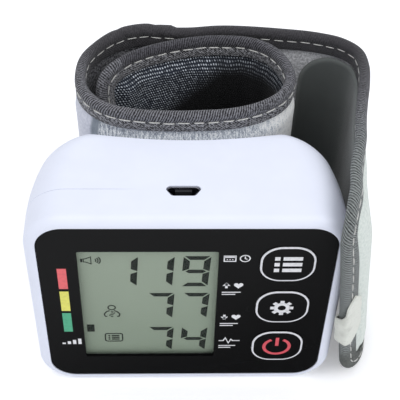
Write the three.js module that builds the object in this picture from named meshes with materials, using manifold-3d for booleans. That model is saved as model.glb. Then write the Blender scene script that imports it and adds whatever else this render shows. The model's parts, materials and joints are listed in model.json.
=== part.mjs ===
// Wrist blood pressure monitor: a white case with a black front panel, and a rolled fabric cuff behind it.
// Millimetres. +Z up, the panel faces -Y, and the origin is the middle of the case's flat underside.
import * as THREE from 'three';
import { mergeVertices } from 'three/addons/utils/BufferGeometryUtils.js';
import Module from 'manifold-3d';

const wasm = await Module();
wasm.setup();

// Case
const BODY_WIDTH = 73;
const BODY_HEIGHT = 62;
const BODY_DEPTH = 30;
const CASE_WALL = 2;
const BACK_WALL = 3.4;
const CORNER_RADIUS = 9.5;
const FRONT_FILLET = 2.2;
const REAR_SIDE_ROUND = 8;
const REAR_TOP_ROUND = 4.5;
const SIDE_TAPER = 5;
const TAPER_START = 8;
const HOLLOW_DEPTH = 1.6;
const HOLLOW_HALF_WIDTH = 23;
const HOLLOW_FLARE = 3.4;
const HOLLOW_END_RADIUS = 111;
const PARTING_DEPTH = 9.6;
const GAP = 0.3;
const OVERRUN = 2;

// Front panel and display
const PANEL_SIDE_BORDER = 2.9;
const PANEL_END_BORDER = 2.6;
const PANEL_RADIUS = 7;
const PANEL_THICKNESS = 0.8;
const PANEL_INSET = 0.1;
const SHELF_THICKNESS = 1.4;
const DISPLAY_WIDTH = 31.9;
const DISPLAY_HEIGHT = 40.1;
const DISPLAY_RADIUS = 1.2;
const DISPLAY_SHIFT = 0.375;
const DISPLAY_SILL = 8.9;
const WINDOW_LIP = 1.3;
const WINDOW_THICKNESS = 0.5;
const WINDOW_GAP = 0.1;
const LCD_LIP = 1.4;
const LCD_DROP = 0.6;
const LCD_THICKNESS = 1.6;
const HOLDER_WALL = 0.7;
const ZEBRA_HEIGHT = 2;

// Keys and their switches
const KEY_WIDTH = 12.3;
const KEY_HEIGHT = 11.8;
const KEY_RADIUS = 4.8;
const KEY_MARGIN = 4.65;
const KEY_SILL = 6.75;
const KEY_PITCH = 16.1;
const KEY_PROUD = 0.25;
const KEY_TRAVEL = 0.4;
const KEY_FLANGE = 0.7;
const KEY_FLANGE_THICKNESS = 0.7;
const SWITCH_SIZE = 5;
const SWITCH_HEIGHT = 1.2;
const SWITCH_STEM_RADIUS = 1.4;
const SWITCH_FLOOR = 0.2;

// Circuit board and its parts
const BOARD_SIDE_MARGIN = 10;
const BOARD_MARGIN = 3;
const BOARD_THICKNESS = 1.6;
const BOARD_SPACE = 1.3;
const PORT_OFFSET = -0.9;
const PORT_WIDTH = 7.5;
const PORT_NARROW = 5.4;
const PORT_HEIGHT = 2.5;
const PORT_CHAMFER = 0.9;
const PORT_SHELL = 0.35;
const PORT_LENGTH = 5.4;
const PORT_RECESS = 0.5;
const PORT_BACK_WALL = 1;
const TONGUE_WIDTH = 3.7;
const TONGUE_THICKNESS = 0.6;
const BATTERY_WIDTH = 34;
const BATTERY_HEIGHT = 27;
const BATTERY_THICKNESS = 6;
const BATTERY_RADIUS = 2.5;
const BATTERY_LEFT = -26;
const BATTERY_FOOT = 25;
const SPEAKER_RADIUS = 8;
const SPEAKER_THICKNESS = 4;
const SPEAKER_HOLE = 1.5;
const SPEAKER_SUMP = 1;
const SPEAKER_INSET = 18.5;
const SPEAKER_UP = 47;
const SENSOR_SIZE = 6;
const SENSOR_HEIGHT = 3;
const SENSOR_REACH = 10.2;

// Air system
const PUMP_UP = 16.5;
const PUMP_LEFT = -27;
const MOTOR_RADIUS = 6;
const MOTOR_LENGTH = 17;
const MOTOR_WALL = 0.8;
const HEAD_RADIUS = 6.5;
const HEAD_LENGTH = 13;
const HEAD_WALL = 1.2;
const DIAPHRAGM_THICKNESS = 1.2;
const CRADLE_THICKNESS = 1.6;
const CRADLE_SPAN = 12;
const SHAFT_RADIUS = 0.8;
const CRANK_RADIUS = 2.6;
const CRANK_THICKNESS = 2.5;
const CRANK_THROW = 1.1;
const CRANK_PIN_RADIUS = 0.7;
const CRANK_PIN_LENGTH = 3;
const VALVE_RADIUS = 5;
const VALVE_LENGTH = 11.2;
const VALVE_BORE = 2.4;
const VALVE_BORE_DEPTH = 8.9;
const PLUNGER_LENGTH = 4.4;
const PLUNGER_INSET = 1;
const SPRING_TURNS = 3;
const SPRING_WIRE = 0.22;
const BARB_RADIUS = 0.9;
const BARB_LENGTH = 3;
const TUBE_BORE = 1.2;
const TUBE_RADIUS = 1.8;
const MANIFOLD_WIDTH = 10;
const MANIFOLD_SIZE = 5;
const MANIFOLD_ACROSS = 13;
const MANIFOLD_STEP = 1.5;
const AIR_PORT_ACROSS = 0;
const TUBE_START_GAP = 0.7;
const NIPPLE_RADIUS = 1.9;
const NIPPLE_BORE = 0.9;
const NIPPLE_BARB_LENGTH = 2;
const NIPPLE_COLLAR = 3.2;
const NIPPLE_COLLAR_THICKNESS = 1.4;

// Fasteners
const SCREW_RADIUS = 1.1;
const SCREW_HEAD_RADIUS = 2.1;
const SCREW_HEAD_HEIGHT = 1.4;
const CASE_SCREW_INSET = 10.5;
const CASE_SCREW_MARGIN = 5.4;
const CASE_SCREW_GRIP = 5;
const CASE_SCREW_SEAT = 10;
const POST_WALL = 0.8;
const COLUMN_WALL = 1.7;
const BOARD_SCREW_MARGIN = 5;
const PLATE_WIDTH = 36;
const PLATE_HEIGHT = 46;
const PLATE_THICKNESS = 1.2;
const PLATE_RADIUS = 4;
const PLATE_SCREW_REACH = 14;

// Cuff strip: n runs outward from the strip's middle surface, depth runs in from its edge
const CUFF_HEIGHT = 66;
const WRIST_LOOP_WIDTH = 44.5;
const WRIST_LOOP_DEPTH = 27.6;
const WRIST_LOOP_SHIFT = 2.35;
const LEFT_TURN_STEP = 5.6;
const BACK_TURN_STEP = 3.5;
const BINDING_HALF = 1.5;
const BINDING_WALL = 0.6;
const BINDING_DEPTH = 5.3;
const CUFF_END_RADIUS = 5;
const FABRIC = 0.7;
const EDGE_FABRIC = 0.45;
const CURLER_THICKNESS = 0.6;
const PUFF = 1.9;
const PUFF_EDGE = 9;
const BLADDER_START = 12;
const BLADDER_END = 101;
const BLADDER_MARGIN = 10;
const PUFF_FADE = 10;
const STATION_STEP = 4.4;
const CORNER_STEP = 2;

// Flap
const FLAP_END_RADIUS = 9.5;
const FLAP_SIDE_CLEARANCE = 0.8;
const FLAP_BULGE = 4.4;
const FLAP_WRAP = 2.8;
const FLAP_LEAN_OUT = 8;
const FLAP_LEAN_BACK = 4.2;
const FLAP_LEAN_LENGTH = 58;
const FLAP_LEAN_FULL = 14;
const HINGE_ALONG = 184.7;
const HOOK_MARGIN = 7;
const HOOK_END_MARGIN = 14;
const HOOK_THICKNESS = 0.5;
const HOOK_LENGTH = 62;
const TAB_WIDTH = 13.5;
const TAB_FOOT = 20;
const TAB_LENGTH = 10;
const TAB_INNER_LENGTH = 5;
const TAB_THICKNESS = 0.4;

// Steps of round shapes
const ROUND_STEPS = 14;
const SMALL_ROUND_STEPS = 10;
const SMALL_ROUND = 3;
const cornerSteps = { case: 5, panel: 5, key: 4, plain: 3, cell: 2 };
const HOLLOW_STEPS = 16;
const SPRING_TURN_STEPS = 7;
const SPRING_SIDES = 4;
const TUBE_STEPS = 8;
const TUBE_SIDES = 6;
const ROUTE_DIVISIONS = 600;
const roundSteps = (radius) => (radius < SMALL_ROUND ? SMALL_ROUND_STEPS : ROUND_STEPS);

// Places that follow from the sizes above
const depthAt = (depth) => depth - BODY_DEPTH / 2;
const MIDDLE_UP = BODY_HEIGHT / 2;
const PANEL_BACK = PANEL_INSET + PANEL_THICKNESS;
const SHELF_FRONT = PANEL_BACK + GAP;
const SHELF_BACK = SHELF_FRONT + SHELF_THICKNESS;
const WINDOW_FRONT = PANEL_BACK + WINDOW_GAP;
const WINDOW_BACK = WINDOW_FRONT + WINDOW_THICKNESS;
const LCD_FRONT = WINDOW_BACK + WINDOW_GAP;
const LCD_BACK = LCD_FRONT + LCD_THICKNESS;
const INNER_FRONT = SHELF_BACK + GAP;
const BOARD_FRONT = INNER_FRONT + LCD_THICKNESS + BOARD_SPACE;
const BOARD_BACK = BOARD_FRONT + BOARD_THICKNESS;
const BACK_MIDDLE = BODY_DEPTH - HOLLOW_DEPTH;
const INNER_BACK = BACK_MIDDLE - BACK_WALL;
const PANEL_WIDTH = BODY_WIDTH - 2 * PANEL_SIDE_BORDER;
const PANEL_HEIGHT = BODY_HEIGHT - 2 * PANEL_END_BORDER;
const KEY_ACROSS = PANEL_WIDTH / 2 - KEY_MARGIN - KEY_WIDTH / 2;
const KEYS_LEFT = KEY_ACROSS - KEY_WIDTH / 2;
const DISPLAY_ACROSS = (KEYS_LEFT - PANEL_WIDTH / 2) / 2 - DISPLAY_SHIFT;
const DISPLAY_UP = MIDDLE_UP - PANEL_HEIGHT / 2 + DISPLAY_SILL + DISPLAY_HEIGHT / 2;
const LCD_UP = DISPLAY_UP - LCD_DROP;
const KEY_UP = MIDDLE_UP - PANEL_HEIGHT / 2 + KEY_SILL + KEY_HEIGHT / 2;
const LCD_WIDTH = DISPLAY_WIDTH + 2 * LCD_LIP;
const LCD_HEIGHT = DISPLAY_HEIGHT + 2 * LCD_LIP;
const MOTOR_DEPTH = INNER_BACK - GAP - HEAD_RADIUS;
const VALVE_DEPTH = INNER_BACK - GAP - VALVE_RADIUS;
const HEAD_LEFT = PUMP_LEFT + MOTOR_LENGTH + GAP;
const MANIFOLD_DEPTH = VALVE_DEPTH - MANIFOLD_STEP;
const SPEAKER_ACROSS = BODY_WIDTH / 2 - SPEAKER_INSET;
const CASE_SCREW_ACROSS = BODY_WIDTH / 2 - CASE_SCREW_INSET;
const BOARD_WIDTH = BODY_WIDTH - 2 * BOARD_SIDE_MARGIN;

// Turns triangles so that a closed surface faces out
function facingOut(geometry) {
  const place = geometry.attributes.position;
  const index = geometry.index.array;
  const [a, b, c] = [new THREE.Vector3(), new THREE.Vector3(), new THREE.Vector3()];
  let volume = 0;
  for (let i = 0; i < index.length; i += 3) {
    a.fromBufferAttribute(place, index[i]);
    b.fromBufferAttribute(place, index[i + 1]);
    c.fromBufferAttribute(place, index[i + 2]);
    volume += a.dot(b.cross(c));
  }
  if (volume < 0) {
    for (let i = 0; i < index.length; i += 3) [index[i], index[i + 1]] = [index[i + 1], index[i]];
  }
  return geometry;
}

function surface(points, faces) {
  const geometry = new THREE.BufferGeometry();
  const places = points.flatMap((p) => [p.x, p.y, p.z]);
  geometry.setAttribute('position', new THREE.Float32BufferAttribute(places, 3));
  geometry.setIndex(faces.flat());
  return facingOut(geometry);
}

// Joins rings of equally many points; outline gives the ring's flat shape for its two end caps,
// and without one the last ring joins the first
function loft(rings, outline) {
  const count = rings[0].length;
  const faces = [];
  const joins = outline ? rings.length - 1 : rings.length;
  for (let i = 0; i < joins; i++) {
    const next = (i + 1) % rings.length * count;
    for (let j = 0; j < count; j++) {
      const k = (j + 1) % count;
      faces.push([i * count + j, i * count + k, next + k], [i * count + j, next + k, next + j]);
    }
  }
  if (!outline) return surface(rings.flat(), faces);
  const last = (rings.length - 1) * count;
  for (const [a, b, c] of THREE.ShapeUtils.triangulateShape(outline, [])) {
    faces.push([c, b, a], [last + a, last + b, last + c]);
  }
  return surface(rings.flat(), faces);
}

// Thin sheet between two grids of points, as rows along the sheet
function sheet(outer, inner) {
  const [rows, count] = [outer.length, outer[0].length];
  const offset = rows * count;
  const faces = [];
  const quad = (a, b, c, d) => faces.push([a, b, c], [a, c, d]);
  const at = (i, j) => i * count + j;
  for (let i = 0; i + 1 < rows; i++) {
    for (let j = 0; j + 1 < count; j++) {
      quad(at(i, j), at(i, j + 1), at(i + 1, j + 1), at(i + 1, j));
      quad(offset + at(i, j), offset + at(i + 1, j), offset + at(i + 1, j + 1), offset + at(i, j + 1));
    }
    quad(at(i, 0), at(i + 1, 0), offset + at(i + 1, 0), offset + at(i, 0));
    quad(at(i + 1, count - 1), at(i, count - 1), offset + at(i, count - 1), offset + at(i + 1, count - 1));
  }
  for (let j = 0; j + 1 < count; j++) {
    quad(at(0, j + 1), at(0, j), offset + at(0, j), offset + at(0, j + 1));
    quad(at(rows - 1, j), at(rows - 1, j + 1), offset + at(rows - 1, j + 1), offset + at(rows - 1, j));
  }
  return surface([...outer.flat(), ...inner.flat()], faces);
}

// Booleans
function merge(geometry) {
  const bare = geometry.clone();
  bare.deleteAttribute('normal');
  bare.deleteAttribute('uv');
  return mergeVertices(bare);
}

function toSolid(geometry) {
  const merged = merge(geometry);
  const vertProperties = new Float32Array(merged.attributes.position.array);
  const triVerts = new Uint32Array(merged.index.array);
  return new wasm.Manifold(new wasm.Mesh({ numProp: 3, vertProperties, triVerts }));
}

function toGeometry(solid) {
  const mesh = solid.getMesh();
  const geometry = new THREE.BufferGeometry();
  geometry.setAttribute('position', new THREE.BufferAttribute(new Float32Array(mesh.vertProperties), 3));
  geometry.setIndex(new THREE.BufferAttribute(new Uint32Array(mesh.triVerts), 1));
  return geometry;
}

function shape(base, { add = [], cut = [] }) {
  let solid = toSolid(base);
  for (const piece of add) solid = solid.add(toSolid(piece));
  for (const piece of cut) solid = solid.subtract(toSolid(piece));
  return toGeometry(solid);
}

// Simple forms, placed by their middle across and up and by their depth behind the front plane
function box(width, depth, height, across, middleDepth, up) {
  return new THREE.BoxGeometry(width, depth, height).translate(across, depthAt(middleDepth), up);
}

function roundedSlab(width, height, radius, frontDepth, backDepth, across, up, steps = cornerSteps.plain) {
  const [w, h] = [width / 2, height / 2];
  const outline = new THREE.Shape();
  outline.absarc(w - radius, h - radius, radius, 0, Math.PI / 2);
  outline.absarc(radius - w, h - radius, radius, Math.PI / 2, Math.PI);
  outline.absarc(radius - w, radius - h, radius, Math.PI, Math.PI * 3 / 2);
  outline.absarc(w - radius, radius - h, radius, Math.PI * 3 / 2, Math.PI * 2);
  const settings = { depth: backDepth - frontDepth, bevelEnabled: false, curveSegments: steps };
  const slab = new THREE.ExtrudeGeometry(outline, settings).rotateX(Math.PI / 2);
  return slab.translate(across, depthAt(backDepth), up);
}

function depthRod(radius, frontDepth, backDepth, across, up) {
  const rod = new THREE.CylinderGeometry(radius, radius, backDepth - frontDepth, roundSteps(radius));
  return rod.translate(across, depthAt((frontDepth + backDepth) / 2), up);
}

function acrossRod(radius, left, right, depth, up) {
  const rod = new THREE.CylinderGeometry(radius, radius, right - left, roundSteps(radius));
  rod.rotateZ(Math.PI / 2);
  return rod.translate((left + right) / 2, depthAt(depth), up);
}

function upRod(radius, foot, top, across, depth) {
  const rod = new THREE.CylinderGeometry(radius, radius, top - foot, roundSteps(radius));
  rod.rotateX(Math.PI / 2);
  return rod.translate(across, depthAt(depth), (foot + top) / 2);
}

// Case outline: how far the sides and the top stand in at a depth
function roundInset(radius, into) {
  const reach = Math.min(Math.max(into, 0), radius);
  return radius - Math.sqrt(radius * radius - reach * reach);
}

function sideInset(depth) {
  const tail = Math.max(0, (depth - TAPER_START) / (BODY_DEPTH - TAPER_START));
  return roundInset(FRONT_FILLET, FRONT_FILLET - depth) + SIDE_TAPER * tail * tail
    + roundInset(REAR_SIDE_ROUND, depth - BODY_DEPTH + REAR_SIDE_ROUND);
}

function topInset(depth) {
  return roundInset(FRONT_FILLET, FRONT_FILLET - depth)
    + roundInset(REAR_TOP_ROUND, depth - BODY_DEPTH + REAR_TOP_ROUND);
}

function caseRing(depth, wall) {
  const side = BODY_WIDTH / 2 - sideInset(depth) - wall;
  const high = BODY_HEIGHT / 2 - topInset(depth) - wall;
  const radius = CORNER_RADIUS - topInset(depth) - wall;
  const ring = [];
  const steps = cornerSteps.case;
  for (const [a, b, turn] of [[1, 1, 0], [-1, 1, 1], [-1, -1, 2], [1, -1, 3]]) {
    for (let k = 0; k <= steps; k++) {
      const angle = (turn + k / steps) * Math.PI / 2;
      const across = a * (side - radius) + radius * Math.cos(angle);
      const up = MIDDLE_UP + b * (high - radius) + radius * Math.sin(angle);
      ring.push(new THREE.Vector3(across, depthAt(depth), up));
    }
  }
  return ring;
}

function caseLoft(depths, wall) {
  const rings = depths.map((depth) => caseRing(depth, wall));
  return loft(rings, rings[0].map((p) => new THREE.Vector2(p.x, p.z)));
}

const PARTING_FRONT = PARTING_DEPTH - GAP / 2;
const PARTING_REAR = PARTING_DEPTH + GAP / 2;
const REAR_ROUND_START = BODY_DEPTH - REAR_SIDE_ROUND;
const frontRoundShares = [0, 0.5, 0.866, 1];
const rearWallShares = [0, 0.4, 0.75];
const rearRoundShares = [0, 0.34, 0.64, 0.87, 0.966, 1];
const rearInsideShares = [0.4, 0.8, 1];
const depthsBetween = (from, to, shares) => shares.map((share) => from + share * (to - from));

// Places of the case screws, the board screws and the plate screws
const HOLE_RADIUS = SCREW_RADIUS + GAP;
const POST_RADIUS = HOLE_RADIUS + POST_WALL;
const COLUMN_RADIUS = HOLE_RADIUS + COLUMN_WALL;
const VALVE_ACROSS = MANIFOLD_ACROSS + MANIFOLD_WIDTH / 2 - TUBE_RADIUS;
const VALVE_FOOT = CASE_SCREW_MARGIN + COLUMN_RADIUS + GAP;
const SENSOR_ACROSS = MANIFOLD_ACROSS + SENSOR_REACH;
const BOARD_SCREW_ACROSS = KEYS_LEFT - KEY_FLANGE - GAP - POST_RADIUS;
const bothEnds = (margin) => [margin, BODY_HEIGHT - margin];
const caseScrewPlaces = [-1, 1].flatMap((side) => (
  bothEnds(CASE_SCREW_MARGIN).map((up) => [side * CASE_SCREW_ACROSS, up])));
const boardScrewPlaces = bothEnds(BOARD_SCREW_MARGIN).map((up) => [BOARD_SCREW_ACROSS, up]);
const plateScrewPlaces = [-1, 1].map((side) => [AIR_PORT_ACROSS + side * PLATE_SCREW_REACH, MIDDLE_UP]);
const keyPlaces = { power: KEY_UP, set: KEY_UP + KEY_PITCH, memory: KEY_UP + 2 * KEY_PITCH };
const POST_START = BOARD_FRONT - GAP;
const COLUMN_SEAT = PARTING_REAR + CASE_SCREW_SEAT;

// Micro-USB outline: wide behind, narrow and chamfered in front; grow adds to every side
function portShape(grow) {
  const [wide, narrow] = [PORT_WIDTH / 2 + grow, PORT_NARROW / 2 + grow];
  const outline = [[-narrow, -grow], [narrow, -grow], [wide, PORT_CHAMFER], [wide, PORT_HEIGHT + grow],
    [-wide, PORT_HEIGHT + grow], [-wide, PORT_CHAMFER]];
  return outline.map(([x, y]) => new THREE.Vector2(x, y));
}

const PORT_FRONT = BOARD_BACK + GAP + PORT_SHELL;
const PORT_TOP = BODY_HEIGHT - PORT_RECESS;

function portBar(grow, foot, top) {
  const outline = portShape(grow);
  const rings = [foot, top].map((up) => outline.map((p) => (
    new THREE.Vector3(PORT_OFFSET + p.x, depthAt(PORT_FRONT + p.y), up))));
  return loft(rings, outline);
}

const portHole = portBar(PORT_SHELL + GAP / 2, BODY_HEIGHT - CASE_WALL - OVERRUN, BODY_HEIGHT + OVERRUN);

function frontShell() {
  const outer = caseLoft([...depthsBetween(0, FRONT_FILLET, frontRoundShares), PARTING_FRONT], 0);
  const keys = Object.values(keyPlaces).map((up) => roundedSlab(KEY_WIDTH + 2 * GAP, KEY_HEIGHT + 2 * GAP,
    KEY_RADIUS + GAP, 0, SHELF_BACK + GAP, KEY_ACROSS, up));
  const lip = 2 * (WINDOW_LIP + GAP);
  const window = roundedSlab(DISPLAY_WIDTH + lip, DISPLAY_HEIGHT + lip, DISPLAY_RADIUS + GAP, 0,
    SHELF_BACK + GAP, DISPLAY_ACROSS, LCD_UP);
  const recess = roundedSlab(PANEL_WIDTH + 2 * GAP, PANEL_HEIGHT + 2 * GAP, PANEL_RADIUS + GAP, -OVERRUN,
    SHELF_FRONT, 0, MIDDLE_UP);
  const hollow = caseLoft([SHELF_BACK, PARTING_DEPTH + OVERRUN], CASE_WALL);
  const posts = caseScrewPlaces.map(([x, z]) => depthRod(POST_RADIUS, SHELF_BACK - GAP, PARTING_FRONT, x, z));
  const pads = boardScrewPlaces.map(([x, z]) => depthRod(POST_RADIUS, SHELF_BACK - GAP, POST_START, x, z));
  const pilots = caseScrewPlaces.map(([x, z]) => (
    depthRod(HOLE_RADIUS, PARTING_FRONT - CASE_SCREW_GRIP, PARTING_FRONT + OVERRUN, x, z)));
  const boardPilots = boardScrewPlaces.map(([x, z]) => (
    depthRod(HOLE_RADIUS, SHELF_BACK, POST_START + OVERRUN, x, z)));
  let solid = toSolid(outer).subtract(toSolid(hollow));
  for (const piece of [...posts, ...pads]) solid = solid.add(toSolid(piece));
  for (const piece of [recess, window, ...keys, ...pilots, ...boardPilots, portHole]) {
    solid = solid.subtract(toSolid(piece));
  }
  return toGeometry(solid);
}

const HOLLOW_RADIUS = (HOLLOW_HALF_WIDTH ** 2 + HOLLOW_DEPTH ** 2) / (2 * HOLLOW_DEPTH);

// Share of the case's height against share of the flare
const hollowFlareShares = [[-0.02, 1], [0.01, 0.94], [0.04, 0.55], [0.07, 0.24], [0.11, 0], [0.89, 0], [0.93, 0.24],
  [0.96, 0.55], [0.99, 0.94], [1.02, 1]];

// Slice that hollows the back for the wrist, deeper towards the case's two ends
function backHollow(wall) {
  const middle = BACK_MIDDLE - wall;
  const side = HOLLOW_HALF_WIDTH + HOLLOW_FLARE * HOLLOW_DEPTH + 2 * wall;
  const outlines = hollowFlareShares.map(([, flare]) => {
    const radius = HOLLOW_RADIUS + (HOLLOW_END_RADIUS - HOLLOW_RADIUS) * flare;
    const arc = Array.from({ length: HOLLOW_STEPS + 1 }, (_, k) => {
      const x = side * (2 * k / HOLLOW_STEPS - 1);
      return [x, middle - HOLLOW_FLARE * flare + radius - Math.sqrt(radius * radius - x * x)];
    });
    return [...arc, [side, BODY_DEPTH + OVERRUN], [-side, BODY_DEPTH + OVERRUN]];
  });
  const rings = outlines.map((outline, k) => outline.map(([x, depth]) => (
    new THREE.Vector3(x, depthAt(depth), hollowFlareShares[k][0] * BODY_HEIGHT))));
  return loft(rings, outlines[0].map(([x, depth]) => new THREE.Vector2(x, depth)));
}

const PLATE_BACK = BACK_MIDDLE - GAP;
const PLATE_FRONT = PLATE_BACK - PLATE_THICKNESS;
const HEAD_MIDDLE = (HEAD_LEFT + HEAD_LEFT + HEAD_LENGTH) / 2;

function rearShell() {
  const outer = caseLoft([...depthsBetween(PARTING_REAR, REAR_ROUND_START, rearWallShares),
    ...depthsBetween(REAR_ROUND_START, BODY_DEPTH, rearRoundShares)], 0);
  const inside = depthsBetween(PARTING_REAR, INNER_BACK, rearInsideShares);
  const hollow = caseLoft([PARTING_REAR - OVERRUN, ...inside], CASE_WALL);
  const columns = caseScrewPlaces.map(([x, z]) => (
    depthRod(COLUMN_RADIUS, PARTING_REAR, INNER_BACK + GAP, x, z)));
  const cradles = [PUMP_LEFT + MOTOR_LENGTH / 4, HEAD_MIDDLE].map((x) => (
    box(CRADLE_THICKNESS, INNER_BACK - MOTOR_DEPTH + GAP, CRADLE_SPAN, x,
      (INNER_BACK + MOTOR_DEPTH + GAP) / 2, PUMP_UP)));
  const bed = [acrossRod(MOTOR_RADIUS + GAP, PUMP_LEFT, HEAD_LEFT - GAP, MOTOR_DEPTH, PUMP_UP),
    acrossRod(HEAD_RADIUS + GAP, HEAD_LEFT - GAP, HEAD_LEFT + HEAD_LENGTH + OVERRUN, MOTOR_DEPTH, PUMP_UP)];
  const bores = caseScrewPlaces.flatMap(([x, z]) => [
    depthRod(HOLE_RADIUS, PARTING_REAR - OVERRUN, COLUMN_SEAT + OVERRUN, x, z),
    depthRod(SCREW_HEAD_RADIUS + GAP, COLUMN_SEAT, BODY_DEPTH + OVERRUN, x, z)]);
  const recess = roundedSlab(PLATE_WIDTH + 2 * GAP, PLATE_HEIGHT + 2 * GAP, PLATE_RADIUS, PLATE_FRONT - GAP,
    BODY_DEPTH + OVERRUN, AIR_PORT_ACROSS, MIDDLE_UP);
  const holes = [...plateScrewPlaces.map(([x, z]) => (
    depthRod(HOLE_RADIUS, INNER_BACK - OVERRUN, BODY_DEPTH, x, z))),
    depthRod(NIPPLE_RADIUS + GAP, INNER_BACK - OVERRUN, BODY_DEPTH, AIR_PORT_ACROSS, MIDDLE_UP)];
  const cavity = toSolid(hollow).subtract(toSolid(backHollow(BACK_WALL)));
  let solid = toSolid(outer).subtract(cavity);
  let inner = toSolid(columns[0]);
  for (const piece of [...columns.slice(1), ...cradles]) inner = inner.add(toSolid(piece));
  solid = solid.add(inner.intersect(toSolid(caseLoft([PARTING_REAR, INNER_BACK + GAP], CASE_WALL / 2))));
  for (const piece of [backHollow(0), ...bed, ...bores, recess, ...holes, portHole]) {
    solid = solid.subtract(toSolid(piece));
  }
  return toGeometry(solid);
}

function frontPanel() {
  const plate = roundedSlab(PANEL_WIDTH, PANEL_HEIGHT, PANEL_RADIUS, PANEL_INSET, PANEL_BACK, 0, MIDDLE_UP,
    cornerSteps.panel);
  const window = roundedSlab(DISPLAY_WIDTH, DISPLAY_HEIGHT, DISPLAY_RADIUS, -OVERRUN, SHELF_BACK,
    DISPLAY_ACROSS, DISPLAY_UP);
  const keys = Object.values(keyPlaces).map((up) => roundedSlab(KEY_WIDTH + 2 * GAP, KEY_HEIGHT + 2 * GAP,
    KEY_RADIUS + GAP, -OVERRUN, SHELF_BACK, KEY_ACROSS, up));
  return shape(plate, { cut: [window, ...keys] });
}

function displayWindow() {
  const lip = 2 * WINDOW_LIP;
  return roundedSlab(DISPLAY_WIDTH + lip, DISPLAY_HEIGHT + lip, DISPLAY_RADIUS, WINDOW_FRONT, WINDOW_BACK,
    DISPLAY_ACROSS, LCD_UP);
}

function lcdGlass() {
  return roundedSlab(LCD_WIDTH, LCD_HEIGHT, DISPLAY_RADIUS, LCD_FRONT, LCD_BACK, DISPLAY_ACROSS, LCD_UP);
}

function lcdHolder() {
  const wide = LCD_WIDTH + 2 * (GAP + HOLDER_WALL);
  const tall = LCD_HEIGHT + 2 * (GAP + HOLDER_WALL);
  const [front, back] = [INNER_FRONT, BOARD_FRONT - GAP];
  const frame = box(wide, back - front, tall, DISPLAY_ACROSS, (front + back) / 2, LCD_UP);
  const hole = box(LCD_WIDTH + 2 * GAP, 2 * back, LCD_HEIGHT + 2 * GAP, DISPLAY_ACROSS, front, LCD_UP);
  return shape(frame, { cut: [hole] });
}

function zebraStrip() {
  const [front, back] = [LCD_BACK + GAP, BOARD_FRONT - GAP];
  const up = LCD_UP - LCD_HEIGHT / 2 + ZEBRA_HEIGHT / 2;
  return box(LCD_WIDTH - ZEBRA_HEIGHT, back - front, ZEBRA_HEIGHT, DISPLAY_ACROSS, (front + back) / 2, up);
}

function mainBoard() {
  const tall = BODY_HEIGHT - 2 * BOARD_MARGIN;
  const plate = box(BOARD_WIDTH, BOARD_THICKNESS, tall, 0, (BOARD_FRONT + BOARD_BACK) / 2, MIDDLE_UP);
  const corners = caseScrewPlaces.map(([x, z]) => (
    depthRod(COLUMN_RADIUS, BOARD_FRONT - OVERRUN, BOARD_BACK + OVERRUN, x, z)));
  const notches = caseScrewPlaces.map(([x, z]) => box(COLUMN_RADIUS * 2, BOARD_THICKNESS + OVERRUN,
    COLUMN_RADIUS * 2, x + Math.sign(x) * COLUMN_RADIUS / 2, (BOARD_FRONT + BOARD_BACK) / 2,
    z + Math.sign(z - MIDDLE_UP) * COLUMN_RADIUS / 2));
  const holes = boardScrewPlaces.map(([x, z]) => (
    depthRod(HOLE_RADIUS, BOARD_FRONT - OVERRUN, BOARD_BACK + OVERRUN, x, z)));
  return shape(plate, { cut: [...corners, ...notches, ...holes] });
}

// Keys: a cap that shows, with a flange behind the shelf; their switches stand on the board
const KEY_BACK = INNER_FRONT + KEY_FLANGE_THICKNESS;
const SWITCH_FRONT = BOARD_FRONT - GAP - SWITCH_HEIGHT;

function keyCap(up) {
  const cap = roundedSlab(KEY_WIDTH, KEY_HEIGHT, KEY_RADIUS, -KEY_PROUD, KEY_BACK, KEY_ACROSS, up,
    cornerSteps.key);
  const grow = 2 * KEY_FLANGE;
  const flange = roundedSlab(KEY_WIDTH + grow, KEY_HEIGHT + grow, KEY_RADIUS + KEY_FLANGE, INNER_FRONT,
    KEY_BACK, KEY_ACROSS, up);
  return shape(cap, { add: [flange] });
}

function switchBase(up) {
  const back = BOARD_FRONT - GAP;
  const base = box(SWITCH_SIZE, back - SWITCH_FRONT, SWITCH_SIZE, KEY_ACROSS, (SWITCH_FRONT + back) / 2, up);
  const bore = depthRod(SWITCH_STEM_RADIUS + GAP, SWITCH_FRONT - OVERRUN, back - SWITCH_FLOOR, KEY_ACROSS,
    up);
  return shape(base, { cut: [bore] });
}

function switchStem(up) {
  const back = BOARD_FRONT - GAP - SWITCH_FLOOR - KEY_TRAVEL - SWITCH_FLOOR;
  return depthRod(SWITCH_STEM_RADIUS, KEY_BACK + GAP / 2, back, KEY_ACROSS, up);
}

function usbSocket() {
  const shell = portBar(PORT_SHELL, PORT_TOP - PORT_LENGTH, PORT_TOP);
  const mouth = portBar(0, PORT_TOP - PORT_LENGTH + PORT_BACK_WALL, PORT_TOP + OVERRUN);
  return shape(shell, { cut: [mouth] });
}

function usbTongue() {
  const foot = PORT_TOP - PORT_LENGTH + PORT_BACK_WALL + GAP;
  const tall = PORT_TOP - PORT_RECESS - foot;
  const depth = PORT_FRONT + PORT_HEIGHT - TONGUE_THICKNESS / 2 - GAP;
  return box(TONGUE_WIDTH, TONGUE_THICKNESS, tall, PORT_OFFSET, depth, foot + tall / 2);
}

function batteryCell() {
  const front = BOARD_BACK + GAP;
  return roundedSlab(BATTERY_WIDTH, BATTERY_HEIGHT, BATTERY_RADIUS, front, front + BATTERY_THICKNESS,
    BATTERY_LEFT + BATTERY_WIDTH / 2, BATTERY_FOOT + BATTERY_HEIGHT / 2, cornerSteps.cell);
}

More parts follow.
